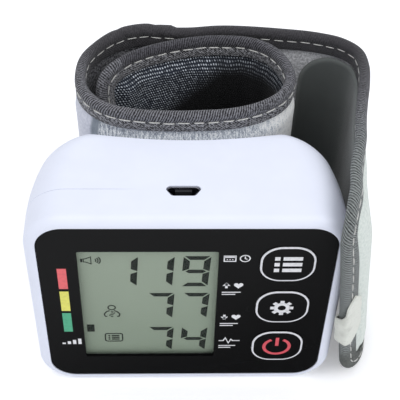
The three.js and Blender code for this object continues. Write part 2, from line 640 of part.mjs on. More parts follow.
// Lathe profiles start and end on the axis; the solid stands along depth, its first point in front
function depthLathe(profile, across, up) {
  const widest = Math.max(...profile.map(([radius]) => radius));
  const points = profile.map(([radius, depth]) => new THREE.Vector2(radius, depthAt(depth)));
  const turned = facingOut(merge(new THREE.LatheGeometry(points, roundSteps(widest))));
  return turned.translate(across, 0, up);
}

function speaker() {
  const [front, back] = [INNER_BACK - GAP - SPEAKER_THICKNESS, INNER_BACK - GAP];
  return depthLathe([[0, front + SPEAKER_SUMP], [SPEAKER_HOLE, front + SPEAKER_SUMP], [SPEAKER_HOLE, front],
    [SPEAKER_RADIUS, front], [SPEAKER_RADIUS, back], [0, back]], SPEAKER_ACROSS, SPEAKER_UP);
}

function pressureSensor() {
  const front = BOARD_BACK + GAP;
  const top = front + SENSOR_HEIGHT;
  const can = box(SENSOR_SIZE, SENSOR_HEIGHT, SENSOR_SIZE, SENSOR_ACROSS, (front + top) / 2, MIDDLE_UP);
  const barb = depthRod(BARB_RADIUS, top - GAP, top + BARB_LENGTH, SENSOR_ACROSS, MIDDLE_UP);
  return shape(can, { add: [barb] });
}

// Screws: a slim shank to the front and a flat head behind it
function screw([across, up], tip, seat) {
  return depthLathe([[0, tip], [SCREW_RADIUS, tip], [SCREW_RADIUS, seat], [SCREW_HEAD_RADIUS, seat],
    [SCREW_HEAD_RADIUS, seat + SCREW_HEAD_HEIGHT], [0, seat + SCREW_HEAD_HEIGHT]], across, up);
}

// Pump: a motor, and a head that its crank works in
function pumpMotor() {
  const can = acrossRod(MOTOR_RADIUS, PUMP_LEFT, PUMP_LEFT + MOTOR_LENGTH, MOTOR_DEPTH, PUMP_UP);
  const bore = acrossRod(SHAFT_RADIUS + GAP, PUMP_LEFT + MOTOR_LENGTH / 2, PUMP_LEFT + MOTOR_LENGTH + OVERRUN,
    MOTOR_DEPTH, PUMP_UP);
  const terminal = acrossRod(SHAFT_RADIUS * 2, PUMP_LEFT - MOTOR_WALL, PUMP_LEFT + GAP, MOTOR_DEPTH, PUMP_UP);
  return shape(can, { add: [terminal], cut: [bore] });
}

const HEAD_RIGHT = HEAD_LEFT + HEAD_LENGTH;
const DIAPHRAGM_LEFT = HEAD_RIGHT - HEAD_WALL - GAP - DIAPHRAGM_THICKNESS;

function pumpHead() {
  const cup = acrossRod(HEAD_RADIUS, HEAD_LEFT, HEAD_RIGHT, MOTOR_DEPTH, PUMP_UP);
  const room = acrossRod(HEAD_RADIUS - HEAD_WALL, HEAD_LEFT - OVERRUN, HEAD_RIGHT - HEAD_WALL, MOTOR_DEPTH,
    PUMP_UP);
  const barb = acrossRod(BARB_RADIUS, HEAD_RIGHT - GAP, HEAD_RIGHT + BARB_LENGTH, MOTOR_DEPTH, PUMP_UP);
  return shape(cup, { add: [barb], cut: [room] });
}

function pumpDiaphragm() {
  return acrossRod(HEAD_RADIUS - HEAD_WALL - GAP, DIAPHRAGM_LEFT, DIAPHRAGM_LEFT + DIAPHRAGM_THICKNESS,
    MOTOR_DEPTH, PUMP_UP);
}

function pumpCrank() {
  const diskLeft = HEAD_LEFT + HEAD_WALL;
  const diskRight = diskLeft + CRANK_THICKNESS;
  const shaft = acrossRod(SHAFT_RADIUS, PUMP_LEFT + MOTOR_LENGTH / 2 + GAP, diskLeft + GAP, MOTOR_DEPTH,
    PUMP_UP);
  const disk = acrossRod(CRANK_RADIUS, diskLeft, diskRight, MOTOR_DEPTH, PUMP_UP);
  const reach = Math.min(diskRight + CRANK_PIN_LENGTH, DIAPHRAGM_LEFT - GAP);
  const pin = acrossRod(CRANK_PIN_RADIUS, diskRight - GAP, reach, MOTOR_DEPTH, PUMP_UP + CRANK_THROW);
  return shape(shaft, { add: [disk, pin] });
}

// Release valve: a coil body with a sprung plunger in its bore
const BORE_TOP = VALVE_FOOT + VALVE_BORE_DEPTH;
const PLUNGER_TOP = VALVE_FOOT + PLUNGER_INSET + PLUNGER_LENGTH;

function valveBody() {
  const can = upRod(VALVE_RADIUS, VALVE_FOOT, VALVE_FOOT + VALVE_LENGTH, VALVE_ACROSS, VALVE_DEPTH);
  const bore = upRod(VALVE_BORE, VALVE_FOOT - OVERRUN, BORE_TOP, VALVE_ACROSS, VALVE_DEPTH);
  const barb = upRod(BARB_RADIUS, VALVE_FOOT + VALVE_LENGTH - GAP, VALVE_FOOT + VALVE_LENGTH + BARB_LENGTH,
    VALVE_ACROSS, VALVE_DEPTH);
  return shape(can, { add: [barb], cut: [bore] });
}

function valvePlunger() {
  return upRod(VALVE_BORE - GAP, VALVE_FOOT + PLUNGER_INSET, PLUNGER_TOP, VALVE_ACROSS, VALVE_DEPTH);
}

// Sweeps a round wire along points; bore makes it a tube
function sweep(curve, steps, sides, radius, bore = 0) {
  const frames = curve.computeFrenetFrames(steps, false);
  const rings = (size) => Array.from({ length: steps + 1 }, (_, i) => {
    const middle = curve.getPointAt(i / steps);
    return Array.from({ length: sides }, (_unused, k) => {
      const angle = k / sides * Math.PI * 2;
      return middle.clone().addScaledVector(frames.normals[i], size * Math.cos(angle))
        .addScaledVector(frames.binormals[i], size * Math.sin(angle));
    });
  });
  const outer = rings(radius);
  const outline = outer[0].map((_, k) => new THREE.Vector2(Math.cos(k / sides * Math.PI * 2),
    Math.sin(k / sides * Math.PI * 2)));
  if (bore === 0) return loft(outer, outline);
  return loft([...outer, ...rings(bore).reverse()]);
}

function valveSpring() {
  const [foot, top] = [PLUNGER_TOP + GAP + SPRING_WIRE, BORE_TOP - GAP - SPRING_WIRE];
  const coil = VALVE_BORE - GAP - SPRING_WIRE;
  const steps = SPRING_TURNS * SPRING_TURN_STEPS;
  const points = Array.from({ length: steps + 1 }, (_, i) => {
    const angle = i / steps * SPRING_TURNS * Math.PI * 2;
    return new THREE.Vector3(VALVE_ACROSS + coil * Math.cos(angle),
      depthAt(VALVE_DEPTH) + coil * Math.sin(angle), foot + (top - foot) * i / steps);
  });
  return sweep(new THREE.CatmullRomCurve3(points), steps, SPRING_SIDES, SPRING_WIRE);
}

// Air block with four barbs: cuff to the left, sensor to the right, pump and valve below
const MANIFOLD_FOOT = MIDDLE_UP - MANIFOLD_SIZE / 2;
const PUMP_BARB_ACROSS = MANIFOLD_ACROSS - MANIFOLD_WIDTH / 2 + TUBE_RADIUS;
const BLOCK_LEFT = MANIFOLD_ACROSS - MANIFOLD_WIDTH / 2;
const BLOCK_RIGHT = MANIFOLD_ACROSS + MANIFOLD_WIDTH / 2;

function airManifold() {
  const block = box(MANIFOLD_WIDTH, MANIFOLD_SIZE, MANIFOLD_SIZE, MANIFOLD_ACROSS, MANIFOLD_DEPTH, MIDDLE_UP);
  const sides = acrossRod(BARB_RADIUS, BLOCK_LEFT - BARB_LENGTH, BLOCK_RIGHT + BARB_LENGTH / 2,
    MANIFOLD_DEPTH, MIDDLE_UP);
  const down = [PUMP_BARB_ACROSS, VALVE_ACROSS].map((x) => (
    upRod(BARB_RADIUS, MANIFOLD_FOOT - BARB_LENGTH, MIDDLE_UP, x, MANIFOLD_DEPTH)));
  return shape(block, { add: [sides, ...down] });
}

const NIPPLE_TIP = INNER_BACK - NIPPLE_COLLAR_THICKNESS - GAP - NIPPLE_BARB_LENGTH;

function cuffNipple() {
  const back = BACK_MIDDLE + COVER_OUT;
  const collar = INNER_BACK - GAP - NIPPLE_COLLAR_THICKNESS;
  const profile = [[NIPPLE_BORE - GAP, NIPPLE_TIP], [BARB_RADIUS, NIPPLE_TIP], [BARB_RADIUS, collar],
    [NIPPLE_COLLAR, collar], [NIPPLE_COLLAR, INNER_BACK - GAP], [NIPPLE_RADIUS, INNER_BACK - GAP],
    [NIPPLE_RADIUS, back], [NIPPLE_BORE - GAP, back], [NIPPLE_BORE - GAP, NIPPLE_TIP]];
  return depthLathe(profile, AIR_PORT_ACROSS, MIDDLE_UP);
}

// Soft tubes: each starts and ends a gap away from what its barb stands on
function tube(points) {
  const path = points.map(([x, depth, z]) => new THREE.Vector3(x, depthAt(depth), z));
  return sweep(new THREE.CatmullRomCurve3(path), TUBE_STEPS, TUBE_SIDES, TUBE_RADIUS, TUBE_BORE);
}

const START = BARB_LENGTH / 2;

function pumpTube() {
  const foot = MANIFOLD_FOOT - TUBE_START_GAP;
  return tube([[HEAD_RIGHT + TUBE_START_GAP, MOTOR_DEPTH, PUMP_UP],
    [(HEAD_RIGHT + PUMP_BARB_ACROSS) / 2, MOTOR_DEPTH, PUMP_UP],
    [PUMP_BARB_ACROSS, (MOTOR_DEPTH + MANIFOLD_DEPTH) / 2, (PUMP_UP + foot) / 2],
    [PUMP_BARB_ACROSS, MANIFOLD_DEPTH, foot - START], [PUMP_BARB_ACROSS, MANIFOLD_DEPTH, foot]]);
}

function valveTube() {
  const [foot, top] = [VALVE_FOOT + VALVE_LENGTH + TUBE_START_GAP, MANIFOLD_FOOT - TUBE_START_GAP];
  return tube([[VALVE_ACROSS, VALVE_DEPTH, foot], [VALVE_ACROSS, VALVE_DEPTH, foot + START],
    [VALVE_ACROSS, MANIFOLD_DEPTH, top - START], [VALVE_ACROSS, MANIFOLD_DEPTH, top]]);
}

function sensorTube() {
  const front = BOARD_BACK + GAP + SENSOR_HEIGHT + TUBE_START_GAP;
  return tube([[SENSOR_ACROSS, front, MIDDLE_UP], [SENSOR_ACROSS, front + START, MIDDLE_UP],
    [SENSOR_ACROSS - TUBE_RADIUS, MANIFOLD_DEPTH - GAP, MIDDLE_UP],
    [BLOCK_RIGHT + START, MANIFOLD_DEPTH, MIDDLE_UP],
    [BLOCK_RIGHT + TUBE_START_GAP, MANIFOLD_DEPTH, MIDDLE_UP]]);
}

function cuffTube() {
  const back = INNER_BACK - NIPPLE_COLLAR_THICKNESS - GAP - TUBE_START_GAP;
  return tube([[BLOCK_LEFT - TUBE_START_GAP, MANIFOLD_DEPTH, MIDDLE_UP],
    [BLOCK_LEFT - START, MANIFOLD_DEPTH, MIDDLE_UP],
    [AIR_PORT_ACROSS + TUBE_RADIUS, MANIFOLD_DEPTH, MIDDLE_UP],
    [AIR_PORT_ACROSS, NIPPLE_TIP - GAP, MIDDLE_UP], [AIR_PORT_ACROSS, back, MIDDLE_UP]]);
}

function cuffPlate() {
  const plate = roundedSlab(PLATE_WIDTH, PLATE_HEIGHT, PLATE_RADIUS - GAP, PLATE_FRONT, PLATE_BACK,
    AIR_PORT_ACROSS, MIDDLE_UP);
  const holes = plateScrewPlaces.map(([x, z]) => depthRod(HOLE_RADIUS, INNER_BACK, BODY_DEPTH, x, z));
  const port = depthRod(NIPPLE_RADIUS + GAP, INNER_BACK, BODY_DEPTH, AIR_PORT_ACROSS, MIDDLE_UP);
  return shape(plate, { cut: [...holes, port] });
}

function plateScrew([across, up]) {
  const seat = INNER_BACK - GAP;
  return depthLathe([[0, PLATE_BACK - GAP], [SCREW_RADIUS, PLATE_BACK - GAP], [SCREW_RADIUS, seat],
    [SCREW_HEAD_RADIUS, seat], [SCREW_HEAD_RADIUS, seat - SCREW_HEAD_HEIGHT], [0, seat - SCREW_HEAD_HEIGHT]],
  across, up);
}

// The strip's route, seen from above: inside the roll, round it clockwise, then along the case's right side
const COVER_OUT = BINDING_HALF + GAP / 3;
const LOOP_MIDDLE = BACK_MIDDLE + GAP + COVER_OUT + WRIST_LOOP_DEPTH / 2;
const FLAP_ACROSS = BODY_WIDTH / 2 + FLAP_SIDE_CLEARANCE + BINDING_HALF + HOOK_THICKNESS;
const BACK_LINE = LOOP_MIDDLE + WRIST_LOOP_DEPTH / 2 + BACK_TURN_STEP;

const innerTurnShares = [[-0.985, -0.19], [-0.935, 0.13], [-0.8, 0.42], [-0.58, 0.67], [-0.285, 0.86], [0.03, 0.978],
  [0.345, 0.995], [0.635, 0.905], [0.85, 0.645], [0.975, 0.255], [1, -0.15], [0.91, -0.515], [0.7, -0.79],
  [0.39, -0.955], [0.03, -1], [-0.33, -1], [-0.645, -0.955]];
const outerTurnShares = [[-0.731, -0.665], [-0.885, -0.48], [-0.98, -0.215], [-1, 0.085], [-0.965, 0.415],
  [-0.84, 0.715], [-0.66, 0.935], [-0.46, 1.03], [-0.3, 1.005]];
const backLineShares = [[0.03, -0.004], [0.2, 0.002], [0.41, -0.01], [0.636, -0.03], [0.84, -0.05]];
const sideLineShares = [[-0.09, 0.92], [0.8, 0.862], [1, 0.778], [0.85, 0.68], [0.55, 0.575], [0.27, 0.467],
  [0.1, 0.36], [0.023, 0.195], [-0.091, 0.114], [-0.341, 0.049], [-0.727, -0.003],
  [-1.205, -0.049], [-1.727, -0.088], [-2.182, -0.119]];

function turnPoints(shares, stepAcross, stepBack) {
  return shares.map(([across, back]) => new THREE.Vector2(
    WRIST_LOOP_SHIFT + across * (WRIST_LOOP_WIDTH / 2 + stepAcross),
    depthAt(LOOP_MIDDLE + back * (WRIST_LOOP_DEPTH / 2 + stepBack))));
}

const backPoints = backLineShares.map(([across, back]) => (
  new THREE.Vector2(across * FLAP_ACROSS, depthAt(BACK_LINE * (1 + back)))));
const sidePoints = sideLineShares.map(([out, back]) => (
  new THREE.Vector2(FLAP_ACROSS + out * FLAP_BULGE, depthAt(back * BACK_LINE))));
const route = new THREE.CatmullRomCurve3([...turnPoints(innerTurnShares, 0, 0),
  ...turnPoints(outerTurnShares, LEFT_TURN_STEP, BACK_TURN_STEP), ...backPoints, ...sidePoints]
  .map((p) => new THREE.Vector3(p.x, p.y, 0)));
route.arcLengthDivisions = ROUTE_DIVISIONS;
const ROUTE_LENGTH = route.getLength();
const FLAP_END = ROUTE_LENGTH - FLAP_WRAP;

// Point of the strip: along the route, up, and n outward from the middle surface
function stripPoint(along, up, n) {
  const share = Math.min(along / ROUTE_LENGTH, 1);
  const past = Math.max(along - ROUTE_LENGTH, 0);
  const tangent = route.getTangentAt(share);
  const lean = THREE.MathUtils.smoothstep(along, FLAP_END - FLAP_LEAN_LENGTH, FLAP_END - FLAP_LEAN_FULL)
    * (1 - up / CUFF_HEIGHT);
  return route.getPointAt(share).addScaledVector(tangent, past).add(new THREE.Vector3(
    FLAP_LEAN_OUT * lean - tangent.y * n, FLAP_LEAN_BACK * lean + tangent.x * n, up));
}

// How deep a point lies inside a strip whose corners at 'end' are round; way is 1 or -1, the way to that end
function edgeDepth(along, up, end, way, radius) {
  const a = way * (along - end) + radius;
  const b = Math.abs(up - CUFF_HEIGHT / 2) - (CUFF_HEIGHT / 2 - radius);
  return radius - Math.hypot(Math.max(a, 0), Math.max(b, 0)) - Math.min(Math.max(a, b), 0);
}

function halfHeightAt(along, end, way, radius, inset) {
  const a = Math.max(way * (along - end) + radius, 0);
  const reach = Math.max(radius - inset, 0);
  return CUFF_HEIGHT / 2 - Math.max(radius, inset) + Math.sqrt(Math.max(reach * reach - a * a, 0));
}

// A part of the strip: its two layers of fabric and its binding share the ends given here
const cuffStrip = { from: 0, to: HINGE_ALONG - GAP / 2, end: 0, way: -1, radius: CUFF_END_RADIUS };
const flapStrip = { from: HINGE_ALONG + GAP / 2, to: FLAP_END, end: FLAP_END, way: 1, radius: FLAP_END_RADIUS };

function bladderPuff(along) {
  const { smoothstep } = THREE.MathUtils;
  return smoothstep(along, BLADDER_START - PUFF_FADE, BLADDER_START)
    * (1 - smoothstep(along, BLADDER_END, BLADDER_END + PUFF_FADE));
}

// Stations that every layer shares, so that the layers bend alike
const stationCount = Math.round(ROUTE_LENGTH / STATION_STEP);
const sharedStations = Array.from({ length: stationCount + 1 }, (_, i) => ROUTE_LENGTH * i / stationCount);
const nearestStation = (along) => sharedStations[Math.round(along / ROUTE_LENGTH * stationCount)];

function stationsBetween(from, to, extra = []) {
  const fixed = [from, ...extra.filter((along) => along > from && along < to), to];
  const free = sharedStations.filter((along) => along > from && along < to
    && fixed.every((other) => Math.abs(other - along) > GAP * 2));
  return [...fixed, ...free].sort((a, b) => a - b);
}

const EDGE_INSET = BINDING_WALL + GAP;
const depthLevels = [EDGE_INSET, BINDING_DEPTH + GAP, PUFF_EDGE];
const endStepShares = [0.5, 1, 1.5];

function layer(strip, from, to, range, levels = depthLevels) {
  const extra = endStepShares.map((share) => strip.end - strip.way * share * (BINDING_DEPTH + GAP));
  const stations = stationsBetween(from, to, extra);
  const grid = (side) => stations.map((along) => {
    const half = halfHeightAt(along, strip.end, strip.way, strip.radius, levels[0]);
    const ups = levels.map((level) => half - level + levels[0]);
    const lower = ups.map((reach) => CUFF_HEIGHT / 2 - reach);
    const upper = ups.map((reach) => CUFF_HEIGHT / 2 + reach).reverse();
    return [...lower, ...upper].map((up) => {
      const depth = edgeDepth(along, up, strip.end, strip.way, strip.radius);
      return stripPoint(along, up, range(along, depth)[side]);
    });
  });
  return sheet(grid(1), grid(0));
}

function riseAt(depth) {
  return THREE.MathUtils.smoothstep(depth, BINDING_DEPTH + GAP, PUFF_EDGE);
}

const coverRange = (along, depth) => {
  const rise = riseAt(depth);
  const low = GAP / 2 + (COVER_OUT - FABRIC - GAP / 2) * rise;
  return [low, low + EDGE_FABRIC + (FABRIC - EDGE_FABRIC) * rise];
};

const liningRange = (along, depth) => {
  const rise = riseAt(depth);
  const high = -GAP / 2 - (GAP / 2 + PUFF * bladderPuff(along)) * rise;
  return [high - EDGE_FABRIC - (FABRIC - EDGE_FABRIC) * rise, high];
};

function fabricEnds(strip) {
  return strip.way < 0 ? [strip.end + EDGE_INSET, strip.to] : [strip.from, strip.end - EDGE_INSET];
}

// Binding: a U over the edge, led round the strip's outline from one cut end to the other
function binding(strip) {
  const { end, way, radius } = strip;
  const start = way < 0 ? strip.to : strip.from;
  const turn = end - way * radius;
  const run = stationsBetween(Math.min(start, turn), Math.max(start, turn));
  if (way < 0) run.reverse();
  const middleUp = CUFF_HEIGHT / 2 - radius;
  const places = run.slice(0, -1).map((along) => [along, CUFF_HEIGHT, 0, 1]);
  const corner = (up, quarter) => {
    const steps = Math.ceil(radius / CORNER_STEP);
    for (let k = 0; k <= steps; k++) {
      const angle = (quarter - k / steps) * Math.PI / 2;
      const [a, b] = [Math.cos(angle), Math.sin(angle)];
      places.push([end + way * radius * (a - 1), up + radius * b, way * a, b]);
    }
  };
  corner(CUFF_HEIGHT / 2 + middleUp, 1);
  corner(CUFF_HEIGHT / 2 - middleUp, 0);
  places.push(...run.slice(0, -1).reverse().map((along) => [along, 0, 0, -1]));
  const inner = BINDING_HALF - BINDING_WALL;
  const section = [[0, -BINDING_HALF], [BINDING_DEPTH, -BINDING_HALF], [BINDING_DEPTH, -inner],
    [BINDING_WALL, -inner], [BINDING_WALL, inner], [BINDING_DEPTH, inner], [BINDING_DEPTH, BINDING_HALF],
    [0, BINDING_HALF]];
  const rings = places.map(([along, up, outAlong, outUp]) => section.map(([depth, n]) => (
    stripPoint(along - outAlong * depth, up - outUp * depth, n))));
  return loft(rings, section.map(([depth, n]) => new THREE.Vector2(depth, n)));
}

const airHole = () => depthRod(NIPPLE_RADIUS + GAP, BACK_MIDDLE, BACK_MIDDLE + NIPPLE_COLLAR * 2,
  AIR_PORT_ACROSS, MIDDLE_UP);
const CURLER_OUT = COVER_OUT - FABRIC - GAP;
const BLADDER_FROM = nearestStation(BLADDER_START);
const BLADDER_TO = nearestStation(BLADDER_END);
const bladderLevels = [BLADDER_MARGIN, BLADDER_MARGIN + EDGE_INSET];
const bladderRimShare = 0.6;

function cuffCover() {
  return shape(layer(cuffStrip, ...fabricEnds(cuffStrip), coverRange), { cut: [airHole()] });
}

function cuffCurler() {
  const range = () => [CURLER_OUT - CURLER_THICKNESS, CURLER_OUT];
  const curler = layer(cuffStrip, BLADDER_FROM, BLADDER_TO, range, [PUFF_EDGE + GAP]);
  return shape(curler, { cut: [airHole()] });
}

function airBladder() {
  const outer = CURLER_OUT - CURLER_THICKNESS - GAP;
  const range = (along, depth) => {
    const swellShare = depth > BLADDER_MARGIN + EDGE_INSET / 2 ? 1 : bladderRimShare;
    return [outer - (PUFF - GAP) * swellShare, outer];
  };
  return layer(cuffStrip, BLADDER_FROM, BLADDER_TO, range, bladderLevels);
}

function hookPatch() {
  const inner = -GAP - FABRIC - GAP;
  const range = () => [inner - HOOK_THICKNESS, inner];
  const to = nearestStation(FLAP_END - HOOK_END_MARGIN);
  return layer(flapStrip, nearestStation(to - HOOK_LENGTH), to, range, [HOOK_MARGIN]);
}

// Tape folded over the flap's end
function pullTab() {
  const near = COVER_OUT + GAP / 2;
  const far = near + TAB_THICKNESS;
  const section = [[-GAP - TAB_THICKNESS, -far], [TAB_INNER_LENGTH, -far], [TAB_INNER_LENGTH, -near],
    [-GAP, -near], [-GAP, near], [TAB_INNER_LENGTH, near], [TAB_LENGTH, near], [TAB_LENGTH, far],
    [TAB_INNER_LENGTH, far], [-GAP - TAB_THICKNESS, far]];
  const rings = [TAB_FOOT, TAB_FOOT + TAB_WIDTH].map((up) => section.map(([depth, n]) => (
    stripPoint(FLAP_END - depth, up, n))));
  return loft(rings, section.map(([depth, n]) => new THREE.Vector2(depth, n)));
}

// The assembly
const monitor = new THREE.Group();
const finishes = {
  whitePlastic: { color: 0xeff3fd, roughness: 0.35, metalness: 0 },
  blackPlastic: { color: 0x0b0b0d, roughness: 0.15, metalness: 0 },
  clearPlastic: { color: 0xdfe8e0, roughness: 0.05, metalness: 0 },
  lcd: { color: 0x87967f, roughness: 0.25, metalness: 0 },
  greyPlastic: { color: 0xd8d8d4, roughness: 0.5, metalness: 0 },
  darkPlastic: { color: 0x222226, roughness: 0.5, metalness: 0 },
  darkRubber: { color: 0x2a2a2c, roughness: 0.8, metalness: 0 },
  board: { color: 0x1f6b3a, roughness: 0.5, metalness: 0 },
  steel: { color: 0xb9bcc0, roughness: 0.3, metalness: 1 },
  silicone: { color: 0xe8e6df, roughness: 0.5, metalness: 0 },
  cell: { color: 0x5d7fa8, roughness: 0.4, metalness: 0 },
  coverFabric: { color: 0xc6c9c9, roughness: 0.9, metalness: 0 },
  liningFabric: { color: 0x23272e, roughness: 0.95, metalness: 0 },
  bindingTape: { color: 0x4b494c, roughness: 0.9, metalness: 0 },
  hookTape: { color: 0x2b2d2e, roughness: 0.95, metalness: 0 },
  whiteTape: { color: 0xdadcd4, roughness: 0.9, metalness: 0 },
};
const materials = Object.fromEntries(Object.entries(finishes).map(([name, finish]) => (
  [name, new THREE.MeshStandardMaterial(finish)])));

function add(name, geometry, finish) {
  const mesh = new THREE.Mesh(geometry, materials[finish]);
  mesh.name = name;
  monitor.add(mesh);
}

add('front_shell', frontShell(), 'whitePlastic');
add('rear_shell', rearShell(), 'whitePlastic');
add('front_panel', frontPanel(), 'blackPlastic');
add('display_window', displayWindow(), 'clearPlastic');
add('lcd_glass', lcdGlass(), 'lcd');
add('lcd_holder', lcdHolder(), 'greyPlastic');
add('zebra_strip', zebraStrip(), 'darkRubber');
add('main_board', mainBoard(), 'board');
add('usb_socket', usbSocket(), 'steel');
add('usb_tongue', usbTongue(), 'darkPlastic');
for (const [key, up] of Object.entries(keyPlaces)) {
  add(`${key}_button`, keyCap(up), 'blackPlastic');
  add(`${key}_switch`, switchBase(up), 'darkPlastic');
  add(`${key}_switch_stem`, switchStem(up), 'greyPlastic');
}
add('battery_cell', batteryCell(), 'cell');
add('speaker', speaker(), 'darkPlastic');
add('pressure_sensor', pressureSensor(), 'greyPlastic');
add('pump_motor', pumpMotor(), 'steel');
add('pump_head', pumpHead(), 'darkPlastic');
add('pump_crank', pumpCrank(), 'steel');
add('pump_diaphragm', pumpDiaphragm(), 'darkRubber');
add('valve_body', valveBody(), 'steel');
add('valve_plunger', valvePlunger(), 'steel');
add('valve_spring', valveSpring(), 'steel');
add('air_manifold', airManifold(), 'greyPlastic');
add('cuff_nipple', cuffNipple(), 'greyPlastic');
add('pump_tube', pumpTube(), 'silicone');
add('valve_tube', valveTube(), 'silicone');
add('sensor_tube', sensorTube(), 'silicone');
add('cuff_tube', cuffTube(), 'silicone');
add('cuff_plate', cuffPlate(), 'darkPlastic');
caseScrewPlaces.forEach((place, i) => {
  add(`case_screw_${i + 1}`, screw(place, PARTING_FRONT - CASE_SCREW_GRIP + GAP, COLUMN_SEAT + GAP), 'steel');
});
boardScrewPlaces.forEach((place, i) => {
  add(`board_screw_${i + 1}`, screw(place, SHELF_BACK + GAP, BOARD_BACK + GAP), 'steel');
});
plateScrewPlaces.forEach((place, i) => add(`plate_screw_${i + 1}`, plateScrew(place), 'steel'));
add('cuff_cover', cuffCover(), 'coverFabric');
add('cuff_lining', layer(cuffStrip, ...fabricEnds(cuffStrip), liningRange), 'liningFabric');
add('air_bladder', airBladder(), 'darkRubber');
add('cuff_curler', cuffCurler(), 'greyPlastic');
add('cuff_binding', binding(cuffStrip), 'bindingTape');
add('flap_cover', layer(flapStrip, ...fabricEnds(flapStrip), coverRange), 'coverFabric');
add('flap_lining', layer(flapStrip, ...fabricEnds(flapStrip), liningRange), 'liningFabric');
add('flap_binding', binding(flapStrip), 'bindingTape');
add('hook_patch', hookPatch(), 'hookTape');
add('pull_tab', pullTab(), 'whiteTape');

export default monitor;
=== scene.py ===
"""Wrist blood pressure monitor: a white case with a display panel and three keys on a rolled cuff."""
import json
import math

import bpy
import numpy as np
from mathutils import Matrix, Vector


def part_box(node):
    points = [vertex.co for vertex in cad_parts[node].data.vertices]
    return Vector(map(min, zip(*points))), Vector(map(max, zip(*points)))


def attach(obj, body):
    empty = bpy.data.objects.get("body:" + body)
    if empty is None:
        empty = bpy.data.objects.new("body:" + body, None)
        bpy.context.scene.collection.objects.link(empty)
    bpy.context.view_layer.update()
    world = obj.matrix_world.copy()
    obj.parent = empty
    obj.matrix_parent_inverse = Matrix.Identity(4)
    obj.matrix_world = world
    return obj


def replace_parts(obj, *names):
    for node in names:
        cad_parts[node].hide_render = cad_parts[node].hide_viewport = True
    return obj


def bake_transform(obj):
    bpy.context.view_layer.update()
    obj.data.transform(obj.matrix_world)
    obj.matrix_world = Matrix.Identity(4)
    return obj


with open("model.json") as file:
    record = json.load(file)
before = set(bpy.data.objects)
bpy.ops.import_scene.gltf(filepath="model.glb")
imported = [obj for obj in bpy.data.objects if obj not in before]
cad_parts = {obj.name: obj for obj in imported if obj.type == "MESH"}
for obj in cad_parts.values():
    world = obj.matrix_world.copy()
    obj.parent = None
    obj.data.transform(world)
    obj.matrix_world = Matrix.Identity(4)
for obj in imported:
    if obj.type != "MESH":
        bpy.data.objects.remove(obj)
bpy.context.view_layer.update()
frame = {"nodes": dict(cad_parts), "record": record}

MM = 0.001
# The camera's place, its turns in radians, and its focal length as a share of the picture's width
CAMERA_STAND, CAMERA_TURN = (-4.469, -160.396, 227.338), (0.047, 0.828, -0.035)
CAMERA_SENSOR, CAMERA_FOCUS = 36, 1024.84 / 400
WORLD_LIGHT, FLOOR_GLOW = 0.72, 0.25
LAMP_AIM, FLOOR_REACH = 0.03, 4.0
TAU = 2 * math.pi
RNG = np.random.default_rng(7)

# Case, in millimetres; depth runs from the display face to the back
BODY_WIDTH, BODY_HEIGHT, BODY_DEPTH = 73.0, 62.0, 30.0
MIDDLE_UP = BODY_HEIGHT / 2
CORNER_RADIUS = 9.5
FRONT_FILLET = 2.2
REAR_SIDE_ROUND = 8.0
REAR_TOP_ROUND = 4.5
SIDE_TAPER = 5.0
TAPER_START = 8.0
WALL = 2.0
BACK_WALL = 3.4
HOLLOW_HALF_WIDTH, HOLLOW_DEPTH = 23.0, 1.6
HOLLOW_FLARE, HOLLOW_EASE, HOLLOW_END_RADIUS, HOLLOW_PAST, HOLLOW_BEND = 3.4, 6.8, 111.0, 6.0, 1.4
PARTING_DEPTH = 9.6
# The seam is a fine gap on the left that closes up from SEAM_OPEN on, over SEAM_CLOSING
SEAM_HALF, SEAM_INSET, SEAM_OPEN, SEAM_CLOSING = 0.035, 0.06, -11.0, 5.0
SEAM_LIP, SEAM_CLEAR = 0.06, 0.25
CUT_PAST = 2.0
CAVITY_START = 14.0
PLATE_CORNER = 4.0
SCREW_WALL, SCREW_HEAD, SHANK_GAP = 1.0, 1.6, 0.4

# Panel, display and keys
PANEL_WIDTH, PANEL_HEIGHT, PANEL_RADIUS = 67.2, 56.8, 6.2
PANEL_FRONT, PANEL_BACK = 0.1, 0.9
SHELF_FRONT, SHELF_BACK = 1.2, 2.6
PANEL_GAP, PANEL_BEVEL = 0.15, 0.1
DISPLAY_WIDTH, DISPLAY_HEIGHT, DISPLAY_RADIUS = 31.9, 40.1, 1.2
DISPLAY_ACROSS, DISPLAY_UP = -8.85, 31.55
# the opening printed round the display reaches a little lower
OPENING_LOWER, OPENING_RADIUS = 0.9, 0.5
WINDOW_LIP = 1.3
WINDOW_FRONT, WINDOW_BACK = 1.0, 1.5
LCD_LIP = 1.4
LCD_UP, LCD_FRONT, LCD_BACK = 30.95, 1.6, 3.2
KEY_WIDTH, KEY_HEIGHT, KEY_RADIUS = 12.3, 11.8, 4.8
KEY_ACROSS = 22.8
KEY_UPS = {"power": 15.25, "set": 31.35, "memory": 47.45}
KEY_HOLE_GAP = 0.3
KEY_PROUD = 0.25
KEY_RIM = 0.5
KEY_FLANGE, KEY_FLANGE_FRONT, KEY_BACK = 0.7, 2.9, 3.6
KEY_SIDE_FRONT, KEY_BEVEL, KEY_GROWTH, KEY_LEAST_RADIUS = 0.05, 0.12, 0.18, 0.5
# The key's face: how far in from its side, and how deep
KEY_DISH = ((KEY_RIM, 0.0), (KEY_RIM + 0.05, 0.04), (1.6, 0.06), (3.0, 0.12))

